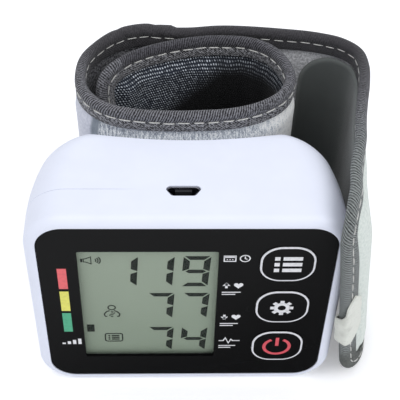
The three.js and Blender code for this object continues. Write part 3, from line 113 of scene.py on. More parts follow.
# Port in the top face
PORT_ACROSS, PORT_FRONT = -0.9, 7.65
PORT_WIDTH, PORT_NARROW, PORT_HEIGHT, PORT_CHAMFER = 7.6, 5.2, 2.9, 1.75
PORT_SHELL, PORT_LENGTH, PORT_RECESS = 0.35, 5.4, 0.3
PORT_SLIT, PORT_SOFT, PORT_BACK_CHAMFER = 0.04, 0.5, 0.6
PORT_RIM, PORT_RIM_SOFT = ((-0.1, -0.2), (0.3, 0.2)), 0.6
# The socket's lip, from its outer side over its edge: growth outward, and how far below its top
PORT_LIP = ((0.0, 0.25), (-0.06, 0.05), (-0.16, 0.0), (-0.27, 0.07))
PORT_LIP_INSIDE, PORT_FLOOR = 0.3, 0.6

# Cuff strip: a route seen from above, and layers set off from its middle surface
CUFF_HEIGHT = 66.0
GAP = 0.3
WRIST_LOOP_WIDTH, WRIST_LOOP_DEPTH, WRIST_LOOP_SHIFT = 44.5, 27.6, 2.35
LEFT_TURN_STEP, BACK_TURN_STEP = 5.6, 3.5
COVER_OUT = 1.6
LOOP_MIDDLE = BODY_DEPTH - HOLLOW_DEPTH + GAP + COVER_OUT + WRIST_LOOP_DEPTH / 2
FLAP_ACROSS = 39.3
BACK_LINE = LOOP_MIDDLE + WRIST_LOOP_DEPTH / 2 + BACK_TURN_STEP
FLAP_BULGE = 4.4
FLAP_WRAP = 3.7
FLAP_LEAN, FLAP_LEAN_START, FLAP_LEAN_FULL = (8.0, 4.2), 58.0, 14.0
BINDING_DEPTH = 5.3
CUFF_END_RADIUS, FLAP_END_RADIUS = 8.5, 9.5
BLADDER_START, BLADDER_END, PUFF_FADE, PUFF = 12.0, 101.0, 10.0, 1.9
BLADDER_MARGIN = 10.0
RISE_FROM, RISE_TO, PUCKER_REACH = 5.6, 9.0, 2.6
TAPE_SHARE, TAPE_MIDDLE, TAPE_EDGE = 0.9, 6.36, 1.5
LAP_ALONG, LAP_WIDTH, LAP_DROP, LAP_EASE = 112.0, 2.4, 0.28, 0.7
STITCH_PITCH, STITCH_LENGTH, STITCH_RADIUS, STITCH_INSET = 3.4, 2.7, 0.16, 2.6
STITCH_SLANT, STITCH_ARCH, STITCH_WORN, WORN_ALONG = 0.14, (1.27, 0.07), 0.72, (120, 250)
# A stitch's thickness along it, as shares of its length and of its full radius
STITCH_SHARES = ((0.0, 0.35), (0.06, 0.8), (0.2, 1.0), (0.5, 1.05), (0.8, 1.0), (0.94, 0.8), (1.0, 0.35))

# The strip's own shape, each over a stretch along it, or counted from the flap's end
TUCK, TUCK_ALONG, TUCK_UP = 2.4, (-31, -17, -11, 1.5), (46, 67)
FLARE, FLARE_ALONG, FLARE_UP = 2.0, (0, 9), (46, 66)
RAISED, RAISED_ACROSS = 0.75, (-8, 30)
OUTER_SWELL, OUTER_SWELL_ALONG = (0.6, 0.5), (156, 176, 186, 206)
INNER_SWELL, INNER_SWELL_ALONG = 0.6, (34, 48, 58, 74)
FOOT_BACK, FOOT_ALONG, FOOT_UP = 0.5, (-22, -2), (1, 19)
FOLD_ALONG, FOLD_SLANT, FOLD_UP = (134.0, 145.0, 156.4, 157.4), 0.7, (-8, -1)
FOLD_RISE, FOLD_THICKER = 0.6, 0.2
CREASE_PITCH, CREASE_WIDTH, CREASE_LEAN, CREASE_DEPTH = 9.4, 0.9, 0.9, (0.05, 1.3)
HOOK_START, HOOK_END_GAP, HOOK_MARGIN, HOOK_CORNER = 189.7, 13.1, 5.8, 9.0
HOOK_LOW, HOOK_HIGH, HOOK_RIM, HOOK_CELLS = -1.12, -1.75, 0.5, (110, 64)
CLOTH_INSET, CLOTH_CELLS, BLADDER_CELLS = 0.9, (560, 64), (160, 24)


# Shader kit


def srgb(red, green, blue):
    """A colour written as it shows on a screen, from 0 to 255, as the shader's own numbers."""
    def linear(level):
        share = level / 255
        return share / 12.92 if share <= 0.04045 else ((share + 0.055) / 1.055) ** 2.4
    return (linear(red), linear(green), linear(blue), 1.0)


def joined(operation):
    """An operator between two values that adds a Math node."""
    return lambda wire, other: wire.maths(operation, wire, other)


class Wire:
    """A shader socket: sums and products written in Python add its Math nodes."""

    def __init__(self, finish, socket):
        self.finish, self.socket = finish, socket

    def maths(self, operation, *values):
        return self.finish.node("Math", {"operation": operation}, dict(enumerate(values)))

    __add__ = __radd__ = joined("ADD")
    __mul__ = __rmul__ = joined("MULTIPLY")
    __sub__, __truediv__ = joined("SUBTRACT"), joined("DIVIDE")
    __mod__, __pow__ = joined("FLOORED_MODULO"), joined("POWER")

    def __rsub__(self, other):
        return self.maths("SUBTRACT", other, self)

    def floor(self):
        return self.maths("FLOOR", self)

    def size(self):
        return self.maths("ABSOLUTE", self)

    def step(self, low, high):
        """0 below low, 1 above high, smooth between them."""
        return self.finish.node("MapRange", {"interpolation_type": "SMOOTHSTEP"}, {0: self, 1: low, 2: high})

    def hump(self, rise, full, fade, end):
        """0 before rise and after end, 1 from full to fade."""
        return self.step(rise, full) * (1 - self.step(fade, end))

    def ribs(self, pitch):
        """Waves from 0 to 1, one to each pitch."""
        turn = self * (TAU / pitch)
        return turn.maths("SINE", turn) * 0.5 + 0.5


class Finish:
    """One material: its Principled shader, and one method that adds any other node."""

    def __init__(self, name, **sockets):
        self.material = bpy.data.materials.new(name)
        self.material.use_nodes = True
        self.tree = self.material.node_tree
        self.shader = self.tree.nodes["Principled BSDF"]
        self.set(**sockets)

    def put(self, socket, value):
        if isinstance(value, Wire):
            self.tree.links.new(value.socket, socket)
        else:
            socket.default_value = value

    def set(self, **sockets):
        """Sockets of the Principled shader by name, with _ for a space."""
        for name, value in sockets.items():
            self.put(self.shader.inputs[name.replace("_", " ")], value)
        return self

    def node(self, kind, settings, sockets, output=0):
        """A node of that type, its settings first, then its sockets' values or links."""
        made = self.tree.nodes.new("ShaderNode" + kind)
        for name, value in settings.items():
            if name == "stops":
                ramp = made.color_ramp.elements
                while len(ramp) < len(value):
                    ramp.new(1.0)
                for stop, (place, colour) in zip(ramp, value):
                    stop.position, stop.color = place, colour
            else:
                setattr(made, name, value)
        for key, value in sockets.items():
            self.put(made.inputs[key], value)
        return Wire(self, made.outputs[output])

    def mix(self, factor, low, high):
        """Between two colours."""
        return self.node("Mix", {"data_type": "RGBA"}, {0: factor, 6: low, 7: high}, 2)

    def place(self):
        """Where the point is on the object, in millimetres."""
        spot = self.node("TexCoord", {}, {}, "Object")
        return self.node("VectorMath", {"operation": "SCALE"}, {0: spot, "Scale": 1 / MM})

    def cloth(self, *stretch):
        """Where the point is on the cloth in millimetres: along it, across it, and through it."""
        spot = self.node("Attribute", {"attribute_name": "cloth"}, {}, "Vector")
        if not stretch:
            return [self.node("SeparateXYZ", {}, {0: spot}, axis) for axis in range(3)]
        return self.node("VectorMath", {"operation": "MULTIPLY"}, {0: spot, 1: stretch})

    def noise(self, scale, detail=2.0, roughness=0.5, where=None):
        """Noise with scale turns to the millimetre, on the object unless where says otherwise."""
        return self.node("TexNoise", {}, {"Vector": where or self.place(), "Scale": scale, "Detail": detail,
                                          "Roughness": roughness})

    def fibre(self, stretch, detail=2.0, roughness=0.5):
        """Noise on the cloth, its turns to the millimetre given once or along, across and through."""
        turns = stretch if isinstance(stretch, tuple) else (stretch,) * 3
        return self.noise(1.0, detail, roughness, self.cloth(*turns))

    def bump(self, height, reach):
        """Raises the surface by height times reach, in millimetres."""
        return self.set(Normal=self.node("Bump", {}, {"Height": height, "Distance": reach * MM}))

    def skin(self, rough, grain):
        """Uneven roughness and a fine grain: the scale and detail of each noise, then how far it goes."""
        scale, detail, spread, least = rough
        self.set(Roughness=self.noise(scale, detail) * spread + least)
        scale, detail, reach = grain
        return self.bump(self.noise(scale, detail), reach)


# Mesh kit


def show(name, data):
    """An object in the scene."""
    made = bpy.data.objects.new(name, data)
    bpy.context.scene.collection.objects.link(made)
    return made


def add_piece(name, points, faces, finishes, face_finish=None, cloth=None, sharp=35.0):
    """A piece from points in millimetres; cloth holds each point's place on the fabric."""
    mesh = bpy.data.meshes.new(name)
    mesh.from_pydata((np.asarray(points, float) * MM).tolist(), [], [list(map(int, f)) for f in faces])
    for finish in finishes:
        mesh.materials.append(finish.material)
    if face_finish is not None:
        mesh.polygons.foreach_set("material_index", np.asarray(face_finish, np.int32))
    if cloth is not None:
        layer = mesh.attributes.new("cloth", "FLOAT_VECTOR", "POINT")
        layer.data.foreach_set("vector", np.asarray(cloth, np.float32).ravel())
    mesh.polygons.foreach_set("use_smooth", np.ones(len(mesh.polygons), bool))
    mesh.set_sharp_from_angle(angle=math.radians(sharp))
    mesh.update()
    return show(name, mesh)


def tube_faces(rings, sides, closed=False):
    """Quads between rings that each have as many points, ring by ring."""
    steps = np.arange(rings if closed else rings - 1)[:, None]
    around = np.arange(sides)[None, :]
    a = steps * sides + around
    b = steps * sides + (around + 1) % sides
    c = (steps + 1) % rings * sides + (around + 1) % sides
    d = (steps + 1) % rings * sides + around
    return np.stack([a, b, c, d], -1).reshape(-1, 4).tolist()


def capped_tube(rings):
    """Points and faces of a closed body through rings of points."""
    rings = np.asarray(rings, float)
    count, sides = rings.shape[:2]
    last = (count - 1) * sides
    faces = tube_faces(count, sides) + [list(range(sides))[::-1], [last + k for k in range(sides)]]
    return rings.reshape(-1, 3), faces


def outward(made):
    """Turns the faces of a closed mesh outward."""
    bpy.context.view_layer.objects.active = made
    made.select_set(True)
    bpy.ops.object.mode_set(mode="EDIT")
    bpy.ops.mesh.select_all(action="SELECT")
    bpy.ops.mesh.normals_make_consistent(inside=False)
    bpy.ops.object.mode_set(mode="OBJECT")
    made.select_set(False)
    return made


def cut_away(made, bodies, union=()):
    """Joins, then cuts, closed bodies given as points and faces."""
    tools = []
    for operation, group in (("UNION", union), ("DIFFERENCE", bodies)):
        for points, faces in group:
            tool = outward(add_piece("tool", points, faces, []))
            step = made.modifiers.new("cut", "BOOLEAN")
            step.operation, step.object, step.solver = operation, tool, "EXACT"
            tools.append(tool)
    return settle(made, tools)


def settle(made, tools=()):
    """Applies a piece's modifiers and clears away the tools that they used."""
    bpy.context.view_layer.update()
    done = bpy.data.meshes.new_from_object(made.evaluated_get(bpy.context.evaluated_depsgraph_get()))
    made.modifiers.clear()
    made.data = done
    for tool in tools:
        bpy.data.objects.remove(tool)
    return made


def flat_shading(made, sharp=30.0):
    """Keeps large flat faces flat beside their rounds."""
    made.data.polygons.foreach_set("use_smooth", np.ones(len(made.data.polygons), bool))
    made.data.set_sharp_from_angle(angle=math.radians(sharp))
    step = made.modifiers.new("flat", "WEIGHTED_NORMAL")
    step.keep_sharp, step.weight = True, 100
    return settle(made)


def compass(angles):
    """Ways out at the angles."""
    return np.stack([np.cos(angles), np.sin(angles)], -1)


def run_along(points):
    """How far along a line of points each of them lies."""
    return np.concatenate([[0], np.cumsum(np.linalg.norm(np.diff(points, axis=0), axis=1))])


def way_along(points):
    """Which way a line of points runs at each of them."""
    way = np.gradient(points, axis=0)
    return way / np.linalg.norm(way, axis=1)[:, None]


def round_outline(width, height, radius, corner=14, side=1):
    """A rounded rectangle's points about its middle, as (across, up), from the right side's foot."""
    points = []
    spots = [(1, 1), (-1, 1), (-1, -1), (1, -1)]
    for turn, (a, b) in enumerate(spots):
        middle = np.array([a * (width / 2 - radius), b * (height / 2 - radius)])
        angles = np.radians(90 * (turn + np.arange(corner + 1) / corner))
        arc = middle + radius * compass(angles)
        if points:
            points += list(np.linspace(points[-1], arc[0], side + 1)[1:-1])
        points += list(arc)
    points += list(np.linspace(points[-1], points[0], side + 1)[1:-1])
    return np.array(points)


def standing(outline, depth, across=0.0, up=MIDDLE_UP):
    """An outline seen from the front, set at a depth of the case."""
    flat = np.full(len(outline), depth - BODY_DEPTH / 2)
    return np.stack([outline[:, 0] + across, flat, outline[:, 1] + up], -1)


def round_bar(width, height, radius, front, back, across=0.0, up=MIDDLE_UP):
    """A rounded rectangle's bar from one depth to another."""
    outline = round_outline(width, height, radius)
    return capped_tube([standing(outline, depth, across, up) for depth in (front, back)])


def rod(radius, front, back, across, up, sides=32):
    ring = radius * compass(np.linspace(0, TAU, sides, endpoint=False))
    return capped_tube([standing(ring, depth, across, up) for depth in (front, back)])


# Camera, light and floor


def camera():
    """Stands where the photograph was taken from."""
    stand, (yaw, pitch, roll) = Vector(CAMERA_STAND) * MM, CAMERA_TURN
    ahead = Vector((math.sin(yaw) * math.cos(pitch), math.cos(yaw) * math.cos(pitch), -math.sin(pitch)))
    right = Vector((math.cos(yaw), -math.sin(yaw), 0))
    down = ahead.cross(right)
    tilted_right = math.cos(roll) * right + math.sin(roll) * down
    tilted_down = -math.sin(roll) * right + math.cos(roll) * down
    data = bpy.data.cameras.new("camera")
    data.sensor_width = CAMERA_SENSOR
    data.lens = CAMERA_FOCUS * data.sensor_width
    data.clip_start, data.clip_end = 0.01, 10
    made = show("camera", data)
    turn = Matrix((tilted_right, -tilted_down, -ahead)).transposed()
    made.matrix_world = Matrix.Translation(stand) @ turn.to_4x4()
    bpy.context.scene.camera = made


def lamp(name, place, size, power):
    """A round lamp that looks at the middle of the monitor."""
    data = bpy.data.lights.new(name, "AREA")
    data.shape, data.size, data.energy = "DISK", size, power
    made = show(name, data)
    made.location = place
    aim = Vector((0, 0, LAMP_AIM))
    made.rotation_euler = (aim - Vector(place)).to_track_quat("-Z", "Y").to_euler()


def studio():
    scene = bpy.context.scene
    scene.view_settings.view_transform = "Standard"
    world = bpy.data.worlds.new("studio")
    world.use_nodes = True
    scene.world = world
    tree = world.node_tree
    light = tree.nodes["Background"]
    light.inputs["Color"].default_value = (0.93, 0.95, 1.0, 1)
    light.inputs["Strength"].default_value = WORLD_LIGHT
    backdrop = tree.nodes.new("ShaderNodeBackground")
    backdrop.inputs["Color"].default_value = (1, 1, 1, 1)
    seen = tree.nodes.new("ShaderNodeLightPath")
    either = tree.nodes.new("ShaderNodeMixShader")
    for k, socket in enumerate((seen.outputs["Is Camera Ray"], light.outputs[0], backdrop.outputs[0])):
        tree.links.new(socket, either.inputs[k])
    tree.links.new(either.outputs[0], tree.nodes["World Output"].inputs["Surface"])
    lamp("key", (-0.22, -0.12, 0.80), size=0.45, power=1.3)
    lamp("fill", (0.48, -0.28, 0.72), size=0.6, power=1.8)
    floor = Finish("floor", Base_Color=srgb(252, 252, 253), Roughness=0.9, Specular_IOR_Level=0.1)
    ray = floor.node("LightPath", {}, {}, "Is Camera Ray")
    floor.set(Emission_Color=floor.mix(ray, (0, 0, 0, 1), (1, 1, 1, 1)), Emission_Strength=FLOOR_GLOW)
    reach = FLOOR_REACH / MM
    corners = [(a * reach, b * reach, 0) for a, b in ((-1, -1), (1, -1), (1, 1), (-1, 1))]
    add_piece("floor", corners, [(0, 1, 2, 3)], [floor])


# Finishes


def darker(colour, share):
    return tuple(level * share for level in colour[:3]) + (1.0,)


def plastic(name, colour, roughness=0.4, grain=0.004, **more):
    """Moulded plastic: a faint mottle and a fine grain."""
    made = Finish(name, **more)
    mottle = made.noise(0.12, 3.0).step(0.3, 0.7)
    made.set(Base_Color=made.mix(mottle, darker(colour, 0.975), colour))
    return made.skin((0.6, 2.0, 0.12, roughness - 0.06), (4.0, 3.0, grain))


def metal(name, colour):
    """Plated metal, a little smudged."""
    made = Finish(name, Metallic=1.0)
    smudge = made.noise(0.8, 4.0)
    made.set(Base_Color=made.mix(smudge, darker(colour, 0.75), colour), Roughness=smudge * 0.25 + 0.18)
    return made.bump(made.noise(9.0, 3.0), 0.01)


def panel_black():
    """Polished black, with a painted reflection: its colour is lighter towards its top left."""
    made = Finish("panel_black", Specular_IOR_Level=0.02)
    across, height = (made.node("SeparateXYZ", {}, {0: made.place()}, axis) for axis in "XZ")
    # painted reflection: the base colour lightens towards the top left
    share = (height - across * 0.45).step(-12.0, 70.0) * 0.9 + made.noise(0.05) * 0.1
    made.set(Base_Color=made.mix(share, srgb(2, 2, 3), srgb(33, 33, 33)))
    return made.skin((0.3, 3.0, 0.1, 0.2), (5.0, 2.0, 0.001))


def window_clear():
    made = Finish("window_clear", Roughness=0.08, Alpha=0.02)
    made.set(Base_Color=made.mix(made.noise(0.1), srgb(190, 198, 192), srgb(215, 222, 216)))
    return made


def lcd_face():
    """Grey green display with painted shade: a little darker towards its foot."""
    made = Finish("lcd_face", Specular_IOR_Level=0.2)
    height = made.node("SeparateXYZ", {}, {0: made.place()}, "Z")
    low, high = DISPLAY_UP - DISPLAY_HEIGHT / 2, DISPLAY_UP + DISPLAY_HEIGHT / 2
    # painted shade: the colour darkens towards the display's foot
    share = height.step(low, high) * 0.7 + made.noise(0.06) * 0.3
    made.set(Base_Color=made.mix(share, srgb(136, 150, 131), srgb(156, 168, 150)))
    return made.skin((3.0, 2.0, 0.1, 0.5), (12.0, 2.0, 0.003))


def ink(name, colour, **more):
    """Printed colour, a little uneven as screen print is."""
    made = Finish(name, **more)
    made.set(Base_Color=made.mix(made.noise(1.2, 3.0).step(0.25, 0.6), darker(colour, 0.85), colour))
    return made.skin((6.0, 2.0, 0.1, 0.4), (14.0, 2.0, 0.004))


def tape_twill():
    """Tape woven in fine slanting ribs: dark and smooth at the roll's back, paler round the flap's end."""
    made = Finish("tape_twill", Specular_IOR_Level=0.25, Sheen_Weight=0.15, Sheen_Roughness=0.5)
    along, across, _ = made.cloth()
    wobble, fuzz = made.fibre(0.4), made.fibre(1.7, 3.0, 0.7)
    rib = (along + across * 0.35 + wobble * 0.7).ribs(0.6)
    cross = (along - across * 1.1 + wobble * 0.5).ribs(0.7)
    slats = (along + across * 0.5 + wobble).ribs(0.86)
    clear = made.fibre((0.12, 0.25, 0.25), 3.0).step(0.3, 0.62) * 0.6 + 0.4
    face = (rib - 0.5) * clear * 1.15 + (fuzz.step(0.38, 0.62) - 0.5) * 0.6 + 0.42
    rough = (cross - 0.5) * 0.9 + (made.fibre(1.6, 2.0, 0.8).step(0.44, 0.56) - 0.5) * 1.1 + 0.5
    # the weave is rougher in the border beyond each row of stitches
    border = (across - TAPE_MIDDLE).size().step(3.1, 3.5)
    tone = made.mix(border, face, rough)
    front = made.mix(tone, srgb(20, 19, 22), srgb(142, 142, 148))
    # painted shade: a darker copy of the tape for the inner turn, where the roll shades it
    turn = made.mix(tone, srgb(30, 29, 33), srgb(98, 97, 103))
    rim = made.mix(tone, srgb(30, 29, 32), srgb(168, 168, 172))
    back = made.mix(fuzz.step(0.2, 0.8) * 0.7 + rib * 0.3, srgb(46, 45, 48), srgb(80, 78, 81))
    flap = made.mix(slats * 0.7 + tone * 0.3, srgb(18, 22, 22), srgb(164, 170, 168))
    foot = made.mix(tone, srgb(58, 62, 58), srgb(106, 110, 105))
    # stretches of the tape's own run: along the top, down the flap's end, back along the foot
    smooth = along.hump(112.0, 128.0, 196.0, 226.0)
    # painted shade: the shaded copy gives way to the front's colour past the inner turn
    colour = made.mix(along.step(24.0, 62.0), turn, front)
    colour = made.mix(smooth, made.mix(border * (1 - smooth), colour, rim), back)
    flap = made.mix(along.step(302.0, 308.0), flap, foot)
    colour = made.mix(along.hump(212.0, 240.0, 324.0, 352.0), colour, flap)
    made.set(Base_Color=colour, Roughness=fuzz * 0.2 + 0.7)
    return made.bump(tone, 0.12)


def cover_cloth():
    """Brushed heather near the case; past the lap seam a smooth pale cloth."""
    made = Finish("cover_cloth", Specular_IOR_Level=0.2, Sheen_Weight=0.2, Sheen_Roughness=0.4)
    along = made.cloth()[0]
    streak = made.fibre((2.2, 0.6, 0.5), 4.0, 0.7)
    fleck = made.fibre((4.6, 2.6, 2.0), 3.0, 0.75)
    soft = made.fibre(1.5, 3.0).step(0.3, 0.7)
    tone = streak.step(0.3, 0.68) * 0.5 + fleck.step(0.32, 0.66) * 0.4 + made.fibre((0.1, 0.06, 0.1)) * 0.1
    stops = [(0.2, srgb(104, 110, 124)), (0.4, srgb(172, 178, 186)), (0.6, srgb(216, 220, 222)),
             (0.8, srgb(255, 255, 252))]
    # painted light: the heather is lighter up to about 70 mm along, where the roll's right end lies in shade
    heather = made.node("ValToRGB", {"stops": stops}, {0: tone + along.step(80.0, 62.0) * 0.4})
    smooth = made.mix(soft, srgb(200, 203, 214), srgb(218, 220, 229))
    flap = made.mix(soft, srgb(210, 219, 212), srgb(230, 236, 229))
    smooth = made.mix(along.step(180.0, 215.0), smooth, flap)
    lap = along.step(LAP_ALONG - 0.5, LAP_ALONG + 0.6)
    past = along.step(LAP_ALONG + LAP_WIDTH - 0.6, LAP_ALONG + LAP_WIDTH + 0.3)
    band = made.mix(streak, srgb(128, 136, 144), srgb(160, 168, 176))
    made.set(Base_Color=made.mix(past, made.mix(lap, heather, band), smooth), Roughness=fleck * 0.15 + 0.75)
    return made.bump(streak * 0.6 + fleck * 0.4, 0.16)


def lining_cloth():
    """Dark knit mesh with rows of pale flecks; a looped grey pile past the wrist turn."""
    made = Finish("lining_cloth", Specular_IOR_Level=0.3, Sheen_Weight=0.1, Sheen_Roughness=0.5)
    along, across, _ = made.cloth()
    warp = made.fibre(0.25)
    rows = across / 0.78 + warp * 1.2
    row = rows.floor()
    stitches = along / 0.66 + row * 0.5 + warp * 0.8
    u = (stitches % 1.0 - 0.5) * 1.3
    v = (rows % 1.0 - 0.5) * 1.05
    off = (u + v * 0.5).size() ** 2 * 0.8 + v ** 2 * 1.3
    fleck = 1 - (off ** 0.5).step(0.2, 0.48)
    pick = made.noise(0.83, 1.0, 0.5, made.node("CombineXYZ", {}, {0: stitches.floor(), 1: row, 2: 0.5}))
    glint = fleck * (pick.step(0.3, 0.6) * 0.8 + 0.2)
    # painted shade: the mesh darkens and its flecks fade into the roll's shade, which rises from the strip's
    # end to its far turn
    shade_top = along * 0.91 + 24.5
    lit = (across - shade_top.maths("MINIMUM", shade_top, 58.0)).step(-3.0, 6.0)
    base = made.mix(lit, srgb(6, 7, 10), made.mix(warp, srgb(18, 22, 32), srgb(44, 52, 68)))
    mesh_colour = made.mix(glint * lit, base, srgb(238, 246, 255))
    pile = made.fibre(1.6, 4.0, 0.75)
    pile_colour = made.mix(pile.step(0.38, 0.66), srgb(44, 44, 48), srgb(158, 158, 162))
    pale = made.mix(pile.step(0.3, 0.7), srgb(150, 150, 154), srgb(238, 238, 240))
    turn, flap = along.step(102.7, 106.7), along.step(164.7, 178.7)
    made.set(Base_Color=made.mix(flap, made.mix(turn, mesh_colour, pile_colour), pale),
             Roughness=pile * 0.2 + 0.65)
    return made.bump(fleck * (1 - turn) + pile * turn, 0.3)


def hook_velvet():
    """Dark hook tape, dense enough to look like velvet, paler at its trimmed edge."""
    made = Finish("hook_velvet", Specular_IOR_Level=0.15, Sheen_Weight=0.25, Sheen_Roughness=0.6)
    along, _, rim = made.cloth()
    fuzz = made.fibre((5.0, 5.0, 0.0), 3.0, 0.7)
    # painted light: the tone grows paler towards the flap's end, lifting the shade on the flap's inside
    tone = made.fibre((0.08, 0.12, 0.0)) * 0.3 + fuzz * 0.3 + along.step(195.0, 240.0) * 0.4
    body = made.mix(tone, srgb(70, 75, 73), srgb(118, 122, 120))
    edge = (1 - rim.step(0.2, 1.3)) * fuzz.step(0.35, 0.65)
    made.set(Base_Color=made.mix(edge, body, srgb(120, 124, 122)), Roughness=fuzz * 0.15 + 0.8)
    return made.bump(fuzz, 0.08)


def tab_tape():
    """Off white woven tape, a little uneven in tone."""
    made = Finish("tab_tape", Specular_IOR_Level=0.25, Sheen_Weight=0.1)
    along, across, _ = made.cloth()
    fleck = made.fibre(1.2, 4.0, 0.65)
    tone = fleck.step(0.15, 0.5) * 0.6 + made.fibre(0.25, 3.0).step(0.25, 0.5) * 0.4
    made.set(Base_Color=made.mix(tone, srgb(176, 178, 168), srgb(226, 228, 219)),
             Roughness=fleck * 0.2 + 0.65)
    return made.bump((across + along * 0.12).ribs(0.5) + fleck, 0.05)


def thread():
    made = Finish("thread", Sheen_Weight=0.1)
    twist = made.noise(5.0, 3.0)
    colour = made.mix(twist.step(0.3, 0.6), srgb(172, 172, 168), srgb(232, 231, 226))
    made.set(Base_Color=colour, Roughness=twist * 0.2 + 0.6)
    return made.bump(twist, 0.05)


# Case


def round_inset(radius, into):
    reach = min(max(into, 0.0), radius)
    return radius - math.sqrt(radius * radius - reach * reach)


def case_ring(depth, wall=0.0, seam=0):
    """The case's outline at one depth; seam is 1 or -1 where the ring closes on the seam from that side."""
    tail = max(0.0, (depth - TAPER_START) / (BODY_DEPTH - TAPER_START))
    front = round_inset(FRONT_FILLET, FRONT_FILLET - depth) + wall
    side_round, top_round = (round_inset(radius, depth - BODY_DEPTH + radius)
                             for radius in (REAR_SIDE_ROUND, REAR_TOP_ROUND))
    sides = front + SIDE_TAPER * tail ** 2 + side_round
    ends = front + top_round
    outline = round_outline(BODY_WIDTH - 2 * sides, BODY_HEIGHT - 2 * ends, CORNER_RADIUS - ends, 16, 24)
    ring = standing(outline, depth)
    if seam:
        shut = 1 - np.clip((SEAM_OPEN - ring[:, 0]) / SEAM_CLOSING, 0, 1)[:, None]
        ring += (case_ring(depth) - ring) * shut
        ring[:, 1] += seam * SEAM_HALF * shut[:, 0]
    return ring


def port_outline(grow):
    """The port seen from above: narrow in front, its back corners cut a little."""
    wide, narrow, back = PORT_WIDTH / 2 + grow, PORT_NARROW / 2 + grow, PORT_HEIGHT + grow
    half = [(narrow, -grow), (wide, PORT_CHAMFER), (wide, back - PORT_BACK_CHAMFER),
            (wide - PORT_BACK_CHAMFER, back)]
    return np.array([(-narrow, -grow), *half, *((-a, b) for a, b in half[:0:-1])])


def softened(outline, radius, steps=5):
    """The outline with each corner rounded."""
    points = []
    for before, corner, after in zip(np.roll(outline, 1, 0), outline, np.roll(outline, -1, 0)):
        sides = [(way, np.linalg.norm(way)) for way in (before - corner, after - corner)]
        reach = min(radius, *(0.45 * length for _, length in sides))
        start, end = (corner + way / length * reach for way, length in sides)
        for k in range(steps + 1):
            t = k / steps
            points.append((1 - t) ** 2 * start + 2 * t * (1 - t) * corner + t ** 2 * end)
    return np.array(points)


def lying(outline, up):
    """A port outline, seen from above, at one height."""
    depth = PORT_FRONT + outline[:, 1] - BODY_DEPTH / 2
    return np.stack([outline[:, 0] + PORT_ACROSS, depth, np.full(len(outline), up)], -1)


def port_bar(grow, foot, top):
    outline = softened(port_outline(grow), PORT_SOFT)
    return capped_tube([lying(outline, up) for up in (foot, top)])


def back_hollow(wall=0.0):
    """What the wrist's hollow takes from the back: deeper and rounder towards the case's two ends."""
    plain = (HOLLOW_HALF_WIDTH ** 2 + HOLLOW_DEPTH ** 2) / (2 * HOLLOW_DEPTH)
    side, far = HOLLOW_HALF_WIDTH + HOLLOW_PAST, BODY_DEPTH + 3 * CUT_PAST
    x = np.linspace(-side, side, 61)
    ends = HOLLOW_EASE * np.linspace(0, 1, 13)
    rings = []
    for up in (-CUT_PAST, *ends, *(BODY_HEIGHT - ends[::-1]), BODY_HEIGHT + CUT_PAST):
        flare = np.clip(1 - min(up, BODY_HEIGHT - up) / HOLLOW_EASE, 0, 1) ** HOLLOW_BEND
        radius = plain + (HOLLOW_END_RADIUS - plain) * flare
        middle = BODY_DEPTH - HOLLOW_DEPTH - wall - HOLLOW_FLARE * flare
        depth = middle + radius - np.sqrt(radius ** 2 - x ** 2)
        arc = [*zip(x, depth), (side, far), (-side, far)]
        rings.append([(across, into - BODY_DEPTH / 2, up) for across, into in arc])
    return capped_tube(rings)


def spot(low, high):
    """A box seen from the front, in millimetres: its middle across and up, half its width and height."""
    middle, half = (low + high) / 2 / MM, (high - low) / 2 / MM
    return middle.x, middle.z, half.x, half.z


def key_bars(front, back):
    """Bars that cut the holes of the keys."""
    return [round_bar(KEY_WIDTH + 2 * KEY_HOLE_GAP, KEY_HEIGHT + 2 * KEY_HOLE_GAP, KEY_RADIUS + KEY_HOLE_GAP,
                      front, back, KEY_ACROSS, up) for up in KEY_UPS.values()]


